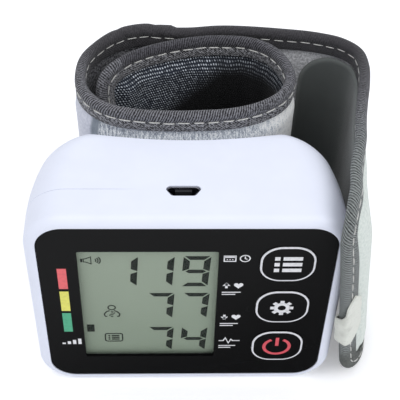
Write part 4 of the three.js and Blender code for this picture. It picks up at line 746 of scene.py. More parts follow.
def shells(white):
    rim = [lying(softened(port_outline(PORT_SLIT + grow), PORT_RIM_SOFT), BODY_HEIGHT + up)
           for grow, up in PORT_RIM]
    port_cut = [port_bar(PORT_SLIT, BODY_HEIGHT - WALL - CUT_PAST, BODY_HEIGHT + CUT_PAST), capped_tube(rim)]
    parting = PARTING_DEPTH - SEAM_HALF
    fillet = [FRONT_FILLET * (1 - math.cos(math.pi / 2 * k / 12)) for k in range(13)]
    plain = np.linspace(FRONT_FILLET, parting - SEAM_CLEAR, 8)[1:]
    rings = [case_ring(depth) for depth in (*fillet, *plain, parting - SEAM_LIP)]
    rings.append(case_ring(parting, SEAM_INSET, 1))
    front = outward(add_piece("front_case", *capped_tube(rings), [white]))
    lip = 2 * (WINDOW_LIP + GAP)
    window = round_bar(DISPLAY_WIDTH + lip, DISPLAY_HEIGHT + lip, DISPLAY_RADIUS + GAP, 0, SHELF_BACK + GAP,
                       DISPLAY_ACROSS, LCD_UP)
    recess = round_bar(PANEL_WIDTH + 2 * PANEL_GAP, PANEL_HEIGHT + 2 * PANEL_GAP, PANEL_RADIUS + PANEL_GAP,
                       -CUT_PAST, SHELF_FRONT)
    hollow = capped_tube([case_ring(depth, WALL) for depth in (SHELF_BACK, PARTING_DEPTH + CUT_PAST)])
    flat_shading(cut_away(front, [recess, hollow, window, *key_bars(0, SHELF_BACK + GAP), *port_cut]))
    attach(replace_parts(front, "front_shell"), "monitor")

    parting, start = PARTING_DEPTH + SEAM_HALF, BODY_DEPTH - REAR_SIDE_ROUND
    plain = np.linspace(parting + SEAM_CLEAR, start, 20)
    round_back = [start + REAR_SIDE_ROUND * math.sin(math.pi / 2 * k / 28) for k in range(1, 29)]
    rings = [case_ring(parting, SEAM_INSET, -1)]
    rings += [case_ring(depth) for depth in (parting + SEAM_LIP, *plain, *round_back)]
    rear = outward(add_piece("rear_case", *capped_tube(rings), [white]))
    inside = capped_tube([case_ring(depth, WALL) for depth in
                          (PARTING_DEPTH - CUT_PAST, *np.linspace(CAVITY_START, BODY_DEPTH - BACK_WALL, 5))])
    cavity = cut_away(outward(add_piece("cavity", *inside, [])), [back_hollow(BACK_WALL)])
    inside = ([tuple(point.co / MM) for point in cavity.data.vertices],
              [tuple(face.vertices) for face in cavity.data.polygons])
    bpy.data.objects.remove(cavity)
    low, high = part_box("cuff_plate")
    across, up, half_width, half_height = spot(low, high)
    plate = round_bar(2 * (half_width + GAP), 2 * (half_height + GAP), PLATE_CORNER,
                      low.y / MM + BODY_DEPTH / 2 - GAP, BODY_DEPTH + CUT_PAST, across, up)
    bores, columns = [], []
    for number in range(1, 5):
        low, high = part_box("case_screw_%d" % number)
        across, up, head, _ = spot(low, high)
        columns.append(rod(head + SCREW_WALL, PARTING_DEPTH + GAP, BODY_DEPTH - BACK_WALL + GAP, across, up))
        seat = high.y / MM + BODY_DEPTH / 2 - SCREW_HEAD
        bores.append(rod(head + GAP, seat, BODY_DEPTH + CUT_PAST, across, up))
        bores.append(rod(head / 2 + SHANK_GAP, PARTING_DEPTH - GAP, BODY_DEPTH + CUT_PAST, across, up))
    low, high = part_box("cuff_nipple")
    across, up, radius, _ = spot(low, high)
    air = rod(radius + GAP, BODY_DEPTH - BACK_WALL - CUT_PAST, BODY_DEPTH + CUT_PAST, across, up)
    cut_away(rear, [inside, back_hollow()])
    flat_shading(cut_away(rear, [plate, air, *bores, *port_cut], columns))
    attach(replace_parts(rear, "rear_shell"), "monitor")


def bevelled_slab(name, finish, width, height, radius, front, back, across, up, bevel=0.12):
    """A rounded plate whose front edge has a fine round."""
    rings = []
    for k in range(5):
        turn = math.pi / 8 * k
        inset = bevel * (1 - math.sin(turn))
        outline = round_outline(width - 2 * inset, height - 2 * inset, radius - inset)
        rings.append(standing(outline, front + bevel * (1 - math.cos(turn)), across, up))
    rings.append(standing(round_outline(width, height, radius), back, across, up))
    return outward(add_piece(name, *capped_tube(rings), [finish]))


def panel(black, clear, lcd):
    plate = bevelled_slab("front_panel_plate", black, PANEL_WIDTH, PANEL_HEIGHT, PANEL_RADIUS, PANEL_FRONT,
                          PANEL_BACK, 0, MIDDLE_UP, PANEL_BEVEL)
    opening = round_bar(DISPLAY_WIDTH, DISPLAY_HEIGHT + OPENING_LOWER, OPENING_RADIUS, -CUT_PAST, CUT_PAST,
                        DISPLAY_ACROSS, DISPLAY_UP - OPENING_LOWER / 2)
    flat_shading(cut_away(plate, [*key_bars(-CUT_PAST, CUT_PAST), opening]))
    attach(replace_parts(plate, "front_panel"), "monitor")
    pane = bevelled_slab("window_pane", clear, DISPLAY_WIDTH + 2 * WINDOW_LIP,
                         DISPLAY_HEIGHT + 2 * WINDOW_LIP, DISPLAY_RADIUS, WINDOW_FRONT, WINDOW_BACK,
                         DISPLAY_ACROSS, LCD_UP)
    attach(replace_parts(flat_shading(pane), "display_window"), "monitor")
    glass = bevelled_slab("lcd_cell", lcd, DISPLAY_WIDTH + 2 * LCD_LIP, DISPLAY_HEIGHT + 2 * LCD_LIP,
                          DISPLAY_RADIUS, LCD_FRONT, LCD_BACK, DISPLAY_ACROSS, LCD_UP)
    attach(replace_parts(flat_shading(glass), "lcd_glass"), "monitor")


def keys(black, white):
    """A black cap with a pale ring printed round its rounded edge."""
    steps = [(-KEY_FLANGE, KEY_BACK), (-KEY_FLANGE, KEY_FLANGE_FRONT), (0, KEY_FLANGE_FRONT),
             (0, KEY_SIDE_FRONT)]
    steps += [(KEY_BEVEL * (1 - math.cos(t)), KEY_SIDE_FRONT - (KEY_PROUD + KEY_SIDE_FRONT) * math.sin(t))
              for t in np.radians([30, 60, 90])]
    pale = range(len(steps) - 3, len(steps))
    # the face is dished a little inside the ring
    steps += [(inset, sunk - KEY_PROUD) for inset, sunk in KEY_DISH]
    for key, up in KEY_UPS.items():
        rings = []
        for inset, depth in steps:
            grow = KEY_GROWTH - inset
            outline = round_outline(KEY_WIDTH + 2 * grow, KEY_HEIGHT + 2 * grow,
                                    max(KEY_RADIUS + grow, KEY_LEAST_RADIUS), 14, 4)
            rings.append(standing(outline, depth, KEY_ACROSS, up))
        points, faces = capped_tube(rings)
        owner = [int(k // len(rings[0]) not in pale) for k in range(len(faces) - 2)] + [1, 1]
        made = outward(add_piece(key + "_cap", points, faces, [white, black], owner))
        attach(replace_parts(flat_shading(made), key + "_button"), key + "_key")


# Print and display marks


class Marks:
    """Thin printed shapes on one face of the case, gathered into one piece."""

    def __init__(self, front, thickness=0.03):
        self.front, self.back = front - thickness, front
        self.points, self.faces = [], []

    def fill(self, outline):
        """A shape from its outline, as (across, up)."""
        outline = np.asarray(outline, float)
        start, count = len(self.points), len(outline)
        for depth in (self.front, self.back):
            self.points += standing(outline, depth, 0, 0).tolist()
        self.faces.append([start + k for k in range(count)])
        self.faces.append([start + count + k for k in range(count)][::-1])
        for k in range(count):
            on = (k + 1) % count
            self.faces.append([start + k, start + count + k, start + count + on, start + on])

    def line(self, path, width, closed=False):
        """A line of even width along a path."""
        path = np.asarray(path, float)
        before, after = np.roll(path, 1, 0), np.roll(path, -1, 0)
        if not closed:
            before[0], after[-1] = 2 * path[0] - path[1], 2 * path[-1] - path[-2]
        a, b = path - before, after - path
        a /= np.linalg.norm(a, axis=1)[:, None]
        b /= np.linalg.norm(b, axis=1)[:, None]
        sideways = np.stack([-(a + b)[:, 1], (a + b)[:, 0]], -1)
        sideways /= np.linalg.norm(sideways, axis=1)[:, None]
        turn = np.clip((sideways * np.stack([-a[:, 1], a[:, 0]], -1)).sum(1), 0.5, 1)
        sideways *= (width / 2 / turn)[:, None]
        start, count = len(self.points), len(path)
        for depth in (self.front, self.back):
            for way in (1, -1):
                self.points += standing(path + way * sideways, depth, 0, 0).tolist()
        for k in range(count if closed else count - 1):
            on = (k + 1) % count
            a, b, c, d = (start + n * count + k for n in range(4))
            e, f, g, h = (start + n * count + on for n in range(4))
            self.faces += [[a, b, f, e], [c, g, h, d], [a, e, g, c], [b, d, h, f]]
        if not closed:
            for k in (0, count - 1):
                self.faces.append([start + n * count + k for n in (0, 2, 3, 1)])

    def bar(self, left, right, foot, top):
        self.fill([(left, foot), (right, foot), (right, top), (left, top)])

    def circle(self, x, up, radius, width=None, start=0, end=360, steps=40):
        angles = np.radians(np.linspace(start, end, steps, endpoint=end - start < 360))
        path = (x, up) + radius * compass(angles)
        if width is None:
            self.fill(path)
        else:
            self.line(path, width, end - start >= 360)

    def piece(self, name, finish, body, slot):
        made = outward(add_piece(name, self.points, self.faces, [finish]))
        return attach(made, body)


# A digit's lit bars, from a at its top clockwise to f, with g across its middle
SEGMENTS_OF = {1: "bc", 4: "bcfg", 7: "abc", 9: "abcdfg", 2: "abdeg"}
# Each number's right side, foot and top
READING = (("119", 5.4, 39.2, 50.1), ("77", 5.4, 26.7, 36.6), ("74", 5.3, 13.3, 23.1))
DIGIT_PITCH, DIGIT_WIDTH, DIGIT_BAR, DIGIT_SLANT, DIGIT_SLIT = 8.2, 6.2, 1.5, 0.055, 0.16
# The marks are laid out as they show against the panel's face, then set down on the display below it
LCD_SCALE, LCD_SHIFT = 1.01, (0.045, 0.0, -2.27)


def digit(marks, number, left, foot, width, height, bar):
    """One digit; the bars at its foot are those at its top turned over."""
    slit, middle, half, slope = DIGIT_SLIT, height / 2, bar / 2, bar * 0.85

    def side(outer, inner):
        return [(outer, middle + slit), (outer, height - slit * 2), (inner, height - slit * 2 - bar),
                (inner, middle + slit + half)]

    rise = half * 0.8
    shapes = {
        "a": [(slit * 2, height), (width - slit * 2, height), (width - bar, height - slope),
              (bar, height - slope)],
        "b": side(width, width - bar),
        "f": side(0, bar),
        "g": [(half, middle), (bar, middle + rise), (width - bar, middle + rise), (width - half, middle),
              (width - bar, middle - rise), (bar, middle - rise)],
    }
    for name, twin in zip("dce", "abf"):
        shapes[name] = [(x, height - y) for x, y in shapes[twin]]
    for name in SEGMENTS_OF[number]:
        marks.fill([(left + x + y * DIGIT_SLANT, foot + y) for x, y in shapes[name]])


def display_marks(finish):
    marks = Marks(LCD_FRONT, 0.05)
    for text, right, foot, top in READING:
        for place, number in enumerate(reversed(text)):
            left = right - DIGIT_WIDTH - (top - foot) * DIGIT_SLANT - place * DIGIT_PITCH
            digit(marks, int(number), left, foot, DIGIT_WIDTH, top - foot, DIGIT_BAR)
    # loudspeaker with its waves
    marks.fill([(-24.0, 48.1), (-23.5, 48.1), (-23.5, 49.2), (-24.0, 49.2)])
    marks.line([(-23.3, 48.1), (-22.9, 48.1), (-21.6, 47.4), (-21.6, 49.9), (-22.9, 49.2), (-23.3, 49.2)],
               0.2, True)
    for radius in (0.7, 1.2, 1.7):
        marks.circle(-21.2, 48.65, radius, 0.26, -42, 42, 10)
    # person with the number of the memory
    marks.circle(-17.65, 31.0, 0.85, 0.3)
    for side in (-1, 1):
        for path in (((1.65, 27.5), (1.85, 28.5), (1.25, 29.4), (0.55, 29.8)), ((1.65, 27.5), (1.15, 27.5))):
            marks.line([(side * x - 17.65, up) for x, up in path], 0.3)
    digit(marks, 2, -18.35, 27.35, 1.3, 2.1, 0.42)
    marks.bar(-23.9, -22.1, 21.3, 24.2)
    # boxed list
    marks.line(round_outline(4.2, 3.2, 0.6, 5) + (-17.55, 18.85), 0.32, True)
    for up in (19.6, 18.85, 18.1):
        for left, right in ((-18.9, -18.45), (-18.1, -16.2)):
            marks.bar(left, right, up - 0.22, up + 0.22)
    marks.points = (np.array(marks.points) * (LCD_SCALE, 1, LCD_SCALE) + LCD_SHIFT).tolist()
    marks.piece("lcd_marks", finish, "monitor", "lcd")


def panel_marks(white, red, yellow, green):
    blocks = (("range_high", red, 38.3, 45.7), ("range_middle", yellow, 29.8, 37.3),
              ("range_low", green, 21.4, 28.9))
    for name, finish, foot, top in blocks:
        block = Marks(PANEL_FRONT)
        block.bar(-29.5, -27.4, foot, top)
        block.piece(name, finish, "monitor", "black_panel")
    marks = Marks(PANEL_FRONT)
    # rising bars under the colour scale
    for k, left in enumerate((-30.3, -29.0, -27.7, -26.4)):
        marks.bar(left, left + 0.8, 16.1, 16.7 + 0.55 * k)
    # calendar and clock
    left, right, foot, top = 8.3, 10.9, 48.3, 50.2
    marks.line([(left, foot), (right, foot), (right, top), (left, top)], 0.28, True)
    marks.bar(left, right, 49.55, top)
    for x in (9.0, 9.6, 10.2):
        marks.bar(x - 0.14, x + 0.14, 48.75, 49.05)
    marks.circle(13.0, 49.3, 1.1, 0.28)
    marks.line([(13.0, 50.0), (13.0, 49.3), (13.5, 49.0)], 0.26)
    # arrows and hearts beside the first two numbers, and a pulse beside the third
    for foot, way, lines in ((38.4, 1, (36.9, 36.1)), (26.1, -1, (24.5, 23.7))):
        middle = foot + 1.05
        marks.fill([(8.3, middle - way * 0.1), (10.1, middle - way * 0.1), (9.2, middle + way * 1.05)])
        marks.bar(8.9, 9.5, middle - 1.0, middle + 0.9)
        heart(marks, 12.0, middle, 1.1)
        for k, up in enumerate(lines):
            marks.bar(8.2, 12.6 - 1.2 * k, up - 0.16, up + 0.16)
    marks.line([(8.2, 17.3), (9.3, 17.3), (9.8, 18.5), (10.6, 16.3), (11.2, 17.9), (11.6, 17.3),
                (13.4, 17.3)], 0.32)
    for k, up in enumerate((15.2, 14.4)):
        marks.bar(8.2, 12.4 - 1.2 * k, up - 0.16, up + 0.16)
    marks.piece("panel_print", white, "monitor", "black_panel")


def heart(marks, x, up, size):
    turns = np.linspace(0, TAU, 28, endpoint=False)
    rise = (13 * np.cos(turns) - 5 * np.cos(2 * turns) - 2 * np.cos(3 * turns) - np.cos(4 * turns)) / 15
    marks.fill((x, up) + size * np.stack([np.sin(turns) ** 3, rise], -1))


def key_marks(white, red):
    """A list, a gear and the usual power sign, on the keys' faces."""
    front, thickness, x = -KEY_PROUD + 0.07, 0.05, KEY_ACROSS - 0.1
    marks, up = Marks(front, thickness), KEY_UPS["memory"]
    for row in (2.05, 0.0, -2.05):
        for left, right in ((-3.1, -1.9), (-1.2, 3.2)):
            marks.bar(KEY_ACROSS + left, KEY_ACROSS + right, up + row - 0.6, up + row + 0.6)
    marks.piece("memory_mark", white, "memory_key", "black_panel")
    marks, up = Marks(front, thickness), KEY_UPS["set"] - 0.25
    marks.circle(x, up, 1.45, 0.95)
    for turn in np.arange(8) * math.pi / 4:
        marks.line([(x + reach * math.cos(turn), up + reach * math.sin(turn)) for reach in (1.8, 2.75)], 1.0)
    marks.piece("set_mark", white, "set_key", "black_panel")
    marks, up = Marks(front, thickness), KEY_UPS["power"] - 0.15
    marks.circle(x, up, 3.15, 0.8, 118, 422, 48)
    marks.bar(x - 0.42, x + 0.42, up + 0.3, up + 3.7)
    marks.piece("power_mark", red, "power_key", "black_panel")


def port(steel):
    """The socket's drawn shell, with its lip flared a little."""
    top = BODY_HEIGHT - PORT_RECESS
    steps = [(0.0, top - PORT_LENGTH), *((grow, top - below) for grow, below in PORT_LIP),
             (-PORT_SHELL, top - PORT_LIP_INSIDE), (-PORT_SHELL, top - PORT_LENGTH + PORT_FLOOR)]
    rings = [lying(softened(port_outline(grow), PORT_SOFT + grow / 2), up) for grow, up in steps]
    made = flat_shading(outward(add_piece("port_socket", *capped_tube(rings), [steel])))
    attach(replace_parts(made, "usb_socket"), "monitor")


# Cuff route, as shares of the loop and of the flap's lines

inner_turn_shares = [(-0.985, -0.19), (-0.935, 0.13), (-0.8, 0.42), (-0.58, 0.67), (-0.285, 0.86),
                     (0.03, 0.978), (0.345, 0.995), (0.635, 0.905), (0.85, 0.645), (0.975, 0.255),
                     (1, -0.15), (0.91, -0.515), (0.7, -0.79), (0.39, -0.955), (0.03, -1), (-0.33, -1),
                     (-0.645, -0.955)]
outer_turn_shares = [(-0.731, -0.665), (-0.885, -0.48), (-0.98, -0.215), (-1, 0.085), (-0.965, 0.415),
                     (-0.84, 0.715), (-0.66, 0.935), (-0.46, 1.03), (-0.3, 1.005)]
back_line_shares = [(0.03, -0.004), (0.2, 0.002), (0.41, -0.01), (0.636, -0.03), (0.84, -0.05)]
side_line_shares = [(-0.09, 0.92), (0.8, 0.862), (1, 0.778), (0.85, 0.68), (0.55, 0.575), (0.27, 0.467),
                    (0.1, 0.36), (0.023, 0.195), (-0.091, 0.114), (-0.341, 0.049), (-0.727, -0.003),
                    (-1.205, -0.049), (-1.727, -0.088), (-2.182, -0.119)]


def route_points():
    def turn(shares, across, back):
        return [(WRIST_LOOP_SHIFT + a * (WRIST_LOOP_WIDTH / 2 + across),
                 LOOP_MIDDLE + b * (WRIST_LOOP_DEPTH / 2 + back)) for a, b in shares]
    points = turn(inner_turn_shares, 0, 0) + turn(outer_turn_shares, LEFT_TURN_STEP, BACK_TURN_STEP)
    points += [(a * FLAP_ACROSS, BACK_LINE * (1 + b)) for a, b in back_line_shares]
    points += [(FLAP_ACROSS + a * FLAP_BULGE, b * BACK_LINE) for a, b in side_line_shares]
    return np.array(points) - (0, BODY_DEPTH / 2)


def smooth_line(points, steps=24):
    """A curve through the points that never loops, however unevenly they lie."""
    led = np.vstack([2 * points[0] - points[1], points, 2 * points[-1] - points[-2]])
    t = np.linspace(0, 1, steps, endpoint=False)[:, None]
    made = []
    for p0, p1, p2, p3 in zip(led, led[1:], led[2:], led[3:]):
        d0, d1, d2 = (math.sqrt(np.linalg.norm(b - a)) for a, b in ((p0, p1), (p1, p2), (p2, p3)))
        m1 = ((p1 - p0) / d0 - (p2 - p0) / (d0 + d1) + (p2 - p1) / d1) * d1
        m2 = ((p2 - p1) / d1 - (p3 - p1) / (d1 + d2) + (p3 - p2) / d2) * d1
        made.append(p1 + m1 * t + (-3 * p1 + 3 * p2 - 2 * m1 - m2) * t ** 2
                    + (2 * p1 - 2 * p2 + m1 + m2) * t ** 3)
    return np.vstack([*made, points[-1:]])


ROUTE = smooth_line(route_points())
ROUTE_RUN, ROUTE_WAY = run_along(ROUTE), way_along(ROUTE)
ROUTE_LENGTH = ROUTE_RUN[-1]
FLAP_END = ROUTE_LENGTH - FLAP_WRAP


def smoothstep(low, high, value):
    share = np.clip((value - low) / (high - low), 0, 1)
    return share * share * (3 - 2 * share)


def hump(stretch, value):
    """0 outside a stretch, 1 along its middle part."""
    rise, full, fade, end = stretch
    return smoothstep(rise, full, value) * (1 - smoothstep(fade, end, value))


def strip(along, up, n):
    """Points of the strip: along its route, up it, and n outward from its middle surface."""
    along, up, n = np.broadcast_arrays(*(np.asarray(value, float) for value in (along, up, n)))
    x, y, way_x, way_y = (np.interp(along, ROUTE_RUN, column) for column in (*ROUTE.T, *ROUTE_WAY.T))
    to_end, high = along - FLAP_END, up / CUFF_HEIGHT
    # the flap's end leans out towards its foot, and its top leans in over the case's round corner
    lean = smoothstep(-FLAP_LEAN_START, -FLAP_LEAN_FULL, to_end) * (1 - high)
    tuck = TUCK * hump(TUCK_ALONG, to_end) * smoothstep(*TUCK_UP, up)
    # the inner end stands out at its top corner, and the roll is a little higher at its right
    flare = FLARE * (1 - smoothstep(*FLARE_ALONG, along)) * smoothstep(*FLARE_UP, up)
    raised = RAISED * smoothstep(*RAISED_ACROSS, x) * high
    # both turns on the right swell a little towards their top
    outer, inner = (hump(stretch, along) * high for stretch in (OUTER_SWELL_ALONG, INNER_SWELL_ALONG))
    x = x + OUTER_SWELL[0] * outer + INNER_SWELL * inner + FLAP_LEAN[0] * lean - tuck - flare
    y = y + OUTER_SWELL[1] * outer + FLAP_LEAN[1] * lean
    # past the flap's end the strip runs straight on, and its foot is drawn back
    past = np.clip(along - ROUTE_LENGTH, 0, None)
    past = past - FOOT_BACK * smoothstep(*FOOT_ALONG, to_end) * (1 - smoothstep(*FOOT_UP, up))
    return np.stack([x - way_y * n + way_x * past, y + way_x * n + way_y * past, up + raised], -1)


def corner_ends(along):
    """The way to each end of the strip, and the corners' radius there."""
    return (along, CUFF_END_RADIUS), (FLAP_END - along, FLAP_END_RADIUS)


def edge_depth(along, up):
    """How far a point of the strip lies from its nearest edge, round the corners too."""
    side = np.minimum(up, CUFF_HEIGHT - up)
    depth = np.minimum(np.minimum(along, FLAP_END - along), side)
    for gap, radius in corner_ends(along):
        corner = radius - np.hypot(np.clip(radius - gap, 0, None), np.clip(radius - side, 0, None))
        depth = np.where((gap < radius) & (side < radius), corner, depth)
    return depth


def half_height(along, inset):
    """Half the strip's height at each place, inset from its rounded ends."""
    half = np.full(len(along), CUFF_HEIGHT / 2 - inset)
    for gap, radius in corner_ends(along):
        reach = max(radius - inset, 0)
        a = np.clip(radius - gap, 0, radius)
        rounded = CUFF_HEIGHT / 2 - max(radius, inset) + np.sqrt(np.clip(reach ** 2 - a ** 2, 0, None))
        half = np.where(gap < radius, np.minimum(half, rounded), half)
    return half


def wave(along, up, *terms):
    """A sum of slow waves over the cloth: size, length along, length up, phase."""
    return sum(size * np.sin(TAU * (along / a + up / b) + phase) for size, a, b, phase in terms)


def closed_sheet(name, finish, top, under, cloth, sharp=70):
    """A closed sheet from the points of its two faces, grid by grid, and their places on the fabric."""
    rows, columns = top.shape[:2]
    total = rows * columns
    index = np.arange(total).reshape(rows, columns)
    quads = np.stack([index[:-1, :-1], index[:-1, 1:], index[1:, 1:], index[1:, :-1]], -1).reshape(-1, 4)
    edge = np.concatenate([index[:, 0], index[-1, 1:], index[::-1, -1][1:], index[0, ::-1][1:-1]])
    on = np.roll(edge, -1)
    sides = np.stack([edge, on, on + total, edge + total], -1)
    faces = np.concatenate([quads, quads[:, ::-1] + total, sides]).tolist()
    points = np.concatenate([top, under]).reshape(-1, 3)
    cloth = np.stack(np.broadcast_arrays(*cloth), -1)
    cloth = np.concatenate([cloth, cloth])
    return outward(add_piece(name, points, faces, [finish], cloth=cloth, sharp=sharp))


def sheet_piece(name, finish, start, end, inset, ranges, cells):
    """A closed sheet between two offsets of the strip, from start to end along it."""
    along = np.linspace(start, end, cells[0] + 1)
    near = np.array([0.15, 0.4, 0.8, 1.4, 2.2, 3.2, 4.4])
    along = np.unique(np.concatenate([along, start + near, end - near]))
    across = np.sin(np.linspace(-1, 1, cells[1] + 1) * math.pi / 2 * 0.8) / math.sin(math.pi / 2 * 0.8)
    up = CUFF_HEIGHT / 2 + half_height(along, inset)[:, None] * across[None, :]
    along = np.repeat(along[:, None], len(across), 1)
    low, high = ranges(along, up, edge_depth(along, up))
    return closed_sheet(name, finish, strip(along, up, high), strip(along, up, low), (along, up, 0.0))


def rise_at(depth):
    return smoothstep(RISE_FROM, RISE_TO, depth)


def pucker(along, depth):
    """Small gathers beside the binding, one to each two stitches."""
    fading = np.exp(-np.clip(depth - BINDING_DEPTH, 0, None) / PUCKER_REACH)
    return np.cos(math.pi * along / STITCH_PITCH) * fading


def cover_range(along, up, depth):
    rise = rise_at(depth)
    waves = wave(along, up, (0.12, 37.0, 90.0, 0.4), (0.08, 17.0, -60.0, 1.9), (0.05, 9.0, 45.0, 0.8))
    lap = LAP_DROP * (smoothstep(LAP_ALONG, LAP_ALONG + LAP_EASE, along)
                      - smoothstep(LAP_ALONG + LAP_WIDTH - LAP_EASE, LAP_ALONG + LAP_WIDTH, along))
    high = 0.6 + rise * (1.0 + waves - lap) + 0.14 * pucker(along, depth) * rise_at(depth + 2)
    return 0.15 + 0.75 * rise, high


def bladder_puff(along):
    return hump((BLADDER_START - PUFF_FADE, BLADDER_START, BLADDER_END, BLADDER_END + PUFF_FADE), along)


def lining_range(along, up, depth):
    rise = rise_at(depth)
    high = -0.15 - (0.15 + PUFF * bladder_puff(along)) * rise
    waves = wave(along, up, (0.25, 29.0, 70.0, 1.1), (0.15, 13.0, -38.0, 0.2), (0.08, 7.0, 23.0, 2.2))
    low = high - 0.45 - rise * (0.25 + (waves - 0.3) * bladder_puff(along)) - 0.12 * pucker(along, depth)
    return low, high


# Binding: a tape folded over the strip's edge and sewn through


def outline_places(step=0.68):
    """Places round the strip's edge: along, up, the inward way, and the corner radius there."""
    places = []
    turns = ((FLAP_END, 1, FLAP_END_RADIUS, 28), (0.0, -1, CUFF_END_RADIUS, 14))
    left, right = CUFF_END_RADIUS, FLAP_END - FLAP_END_RADIUS
    count = int((right - left) / step)
    runs = (np.linspace(left, right, count), np.linspace(right, left, count))
    for side, ((end, way, radius, steps), run) in enumerate(zip(turns, runs)):
        up_way = 1 if side == 0 else -1
        edge = CUFF_HEIGHT if side == 0 else 0.0
        places += [(along, edge, 0, -up_way, BINDING_DEPTH * 9) for along in run[:-1]]
        for half in (1, -1):
            middle = CUFF_HEIGHT / 2 + up_way * half * (CUFF_HEIGHT / 2 - radius)
            turn = [k / steps for k in range(steps + 1)]
            for share in turn:
                angle = math.pi / 2 * (1 - share if half == 1 else -share)
                a, b = way * math.cos(angle), up_way * math.sin(angle)
                places.append((end - way * radius + radius * a, middle + radius * b, -a, -b, radius))
            if half == 1:
                gap = CUFF_HEIGHT - 2 * radius
                levels = np.linspace(middle, middle - up_way * gap, int(gap / step))[1:-1]
                places += [(end, level, -way, 0, BINDING_DEPTH * 9) for level in levels]
    return np.array(places)


def tape_section():
    """The folded tape's section as (inset from the edge, offset), outside first, then back inside."""
    half = [(BINDING_DEPTH, 0.95), (BINDING_DEPTH + 0.02, 1.15), (BINDING_DEPTH - 0.12, 1.32),
            (BINDING_DEPTH - 0.4, 1.38), (4.3, 1.42), (3.7, 1.42), (3.2, 1.38), (2.85, 1.28),
            (STITCH_INSET, 1.22), (2.35, 1.28), (2.0, 1.42), (TAPE_EDGE, TAPE_EDGE)]
    half += [(TAPE_EDGE * (1 - math.sin(t)), TAPE_EDGE * math.cos(t))
             for t in np.radians([18, 36, 54, 72, 90])]
    inner = [(1.0, 0.0), (1.2, 0.55), (2.0, 0.72), (BINDING_DEPTH - 0.1, 0.75)]
    whole = half + [(d, -n) for d, n in half[-2::-1]] + [(d, -n) for d, n in inner[:0:-1]] + inner
    return np.array(whole) * (1, TAPE_SHARE)


def fold_bulge(along, up):
    """How far the back edge stands up where the tape's end is folded under; it ends on a slant."""
    rise, full, fade, end = FOLD_ALONG
    slanted = along + (up - CUFF_HEIGHT) * FOLD_SLANT
    lump = smoothstep(rise, full, along) * (1 - smoothstep(fade, end, slanted))
    return lump * smoothstep(*FOLD_UP, up - CUFF_HEIGHT)


def binding(finish):
    places = outline_places()
    section = tape_section()
    along, up, way_a, way_u, radius = (column[:, None] for column in places.T)
    inset = np.minimum(section[None, :, 0], radius * 0.96)
    n = np.repeat(section[None, :, 1], len(places), 0)
    run = run_along(places[:, :2])[:, None]
    dip = 0.5 + 0.5 * np.cos(TAU * run / STITCH_PITCH)
    near = np.exp(-((inset - STITCH_INSET) / 0.55) ** 2)
    slack = 0.10 * np.sin(TAU * run / 23.0) + 0.07 * np.sin(TAU * run / 11.0 + 1)
    n = n * (1 - 0.10 * dip * near) + np.sign(n) * 0.08 * slack * (inset > 1.0)
    a = along + way_a * inset
    u = up + way_u * inset
    lump = fold_bulge(a, u)
    crease = np.exp(-(((a + CREASE_LEAN * u) % CREASE_PITCH - CREASE_PITCH / 2) / CREASE_WIDTH) ** 2)
    u = u + lump * (FOLD_RISE - CREASE_DEPTH[0] * crease) * (inset < BINDING_DEPTH - 1)
    n = n * (1 + FOLD_THICKER * lump * (1 - CREASE_DEPTH[1] * crease))
    points = strip(a, u, n).reshape(-1, 3)
    sweep = run_along(section)
    cloth = np.stack([np.repeat(run, len(section), 1), np.repeat(sweep[None], len(places), 0), n], -1)
    faces = tube_faces(len(places), len(section), True)
    return outward(add_piece("edge_tape", points, faces, [finish], cloth=cloth.reshape(-1, 3), sharp=60))


def stitches(finish):
    """Short runs of thread on both faces of the tape, each with its own small slant."""
    places = outline_places(0.5)
    places = np.vstack([places, places[:1]])
    inward = places[:, 2:4]
    loop = places[:, :2] + inward * STITCH_INSET
    run = run_along(loop)
    profile = np.array(STITCH_SHARES)
    turns = compass(np.linspace(0, TAU, 8, endpoint=False))
    points, faces, cloth = [], [], []
    for side in (1, -1):
        for start in np.arange(0.4, run[-1] - STITCH_PITCH, STITCH_PITCH):
            length = STITCH_LENGTH * RNG.uniform(0.85, 1.05)
            at = start + profile[:, 0] * length
            slant = np.linspace(*RNG.uniform(-STITCH_SLANT, STITCH_SLANT, 2), len(at))
            a, u = (np.interp(at, run, loop[:, k]) + slant * np.interp(at, run, inward[:, k])
                    for k in (0, 1))
            arch = (STITCH_ARCH[0] + STITCH_ARCH[1] * np.sin(math.pi * profile[:, 0])) * TAPE_SHARE
            lift = fold_bulge(a, u)
            u = u + lift * 0.5
            centre = strip(a, u, side * arch * (1 + FOLD_THICKER * lift))
            out = strip(a, u, side * (arch + 1)) - strip(a, u, side * arch)
            out /= np.linalg.norm(out, axis=1)[:, None]
            across = np.cross(way_along(centre), out)
            worn = STITCH_WORN if side == -1 and WORN_ALONG[0] < a[0] < WORN_ALONG[1] else 1.0
            radius = (profile[:, 1] * STITCH_RADIUS * worn)[:, None, None]
            round_it = turns[None, :, :1] * out[:, None] + turns[None, :, 1:] * across[:, None]
            ring = centre[:, None] + radius * round_it
            body, body_faces = capped_tube(ring)
            faces += [[k + len(points) for k in face] for face in body_faces]
            points += body.tolist()
            cloth += [(s, 0, 0) for s in np.repeat(at, len(turns))]
    return outward(add_piece("edge_stitches", points, faces, [finish], cloth=cloth, sharp=80))


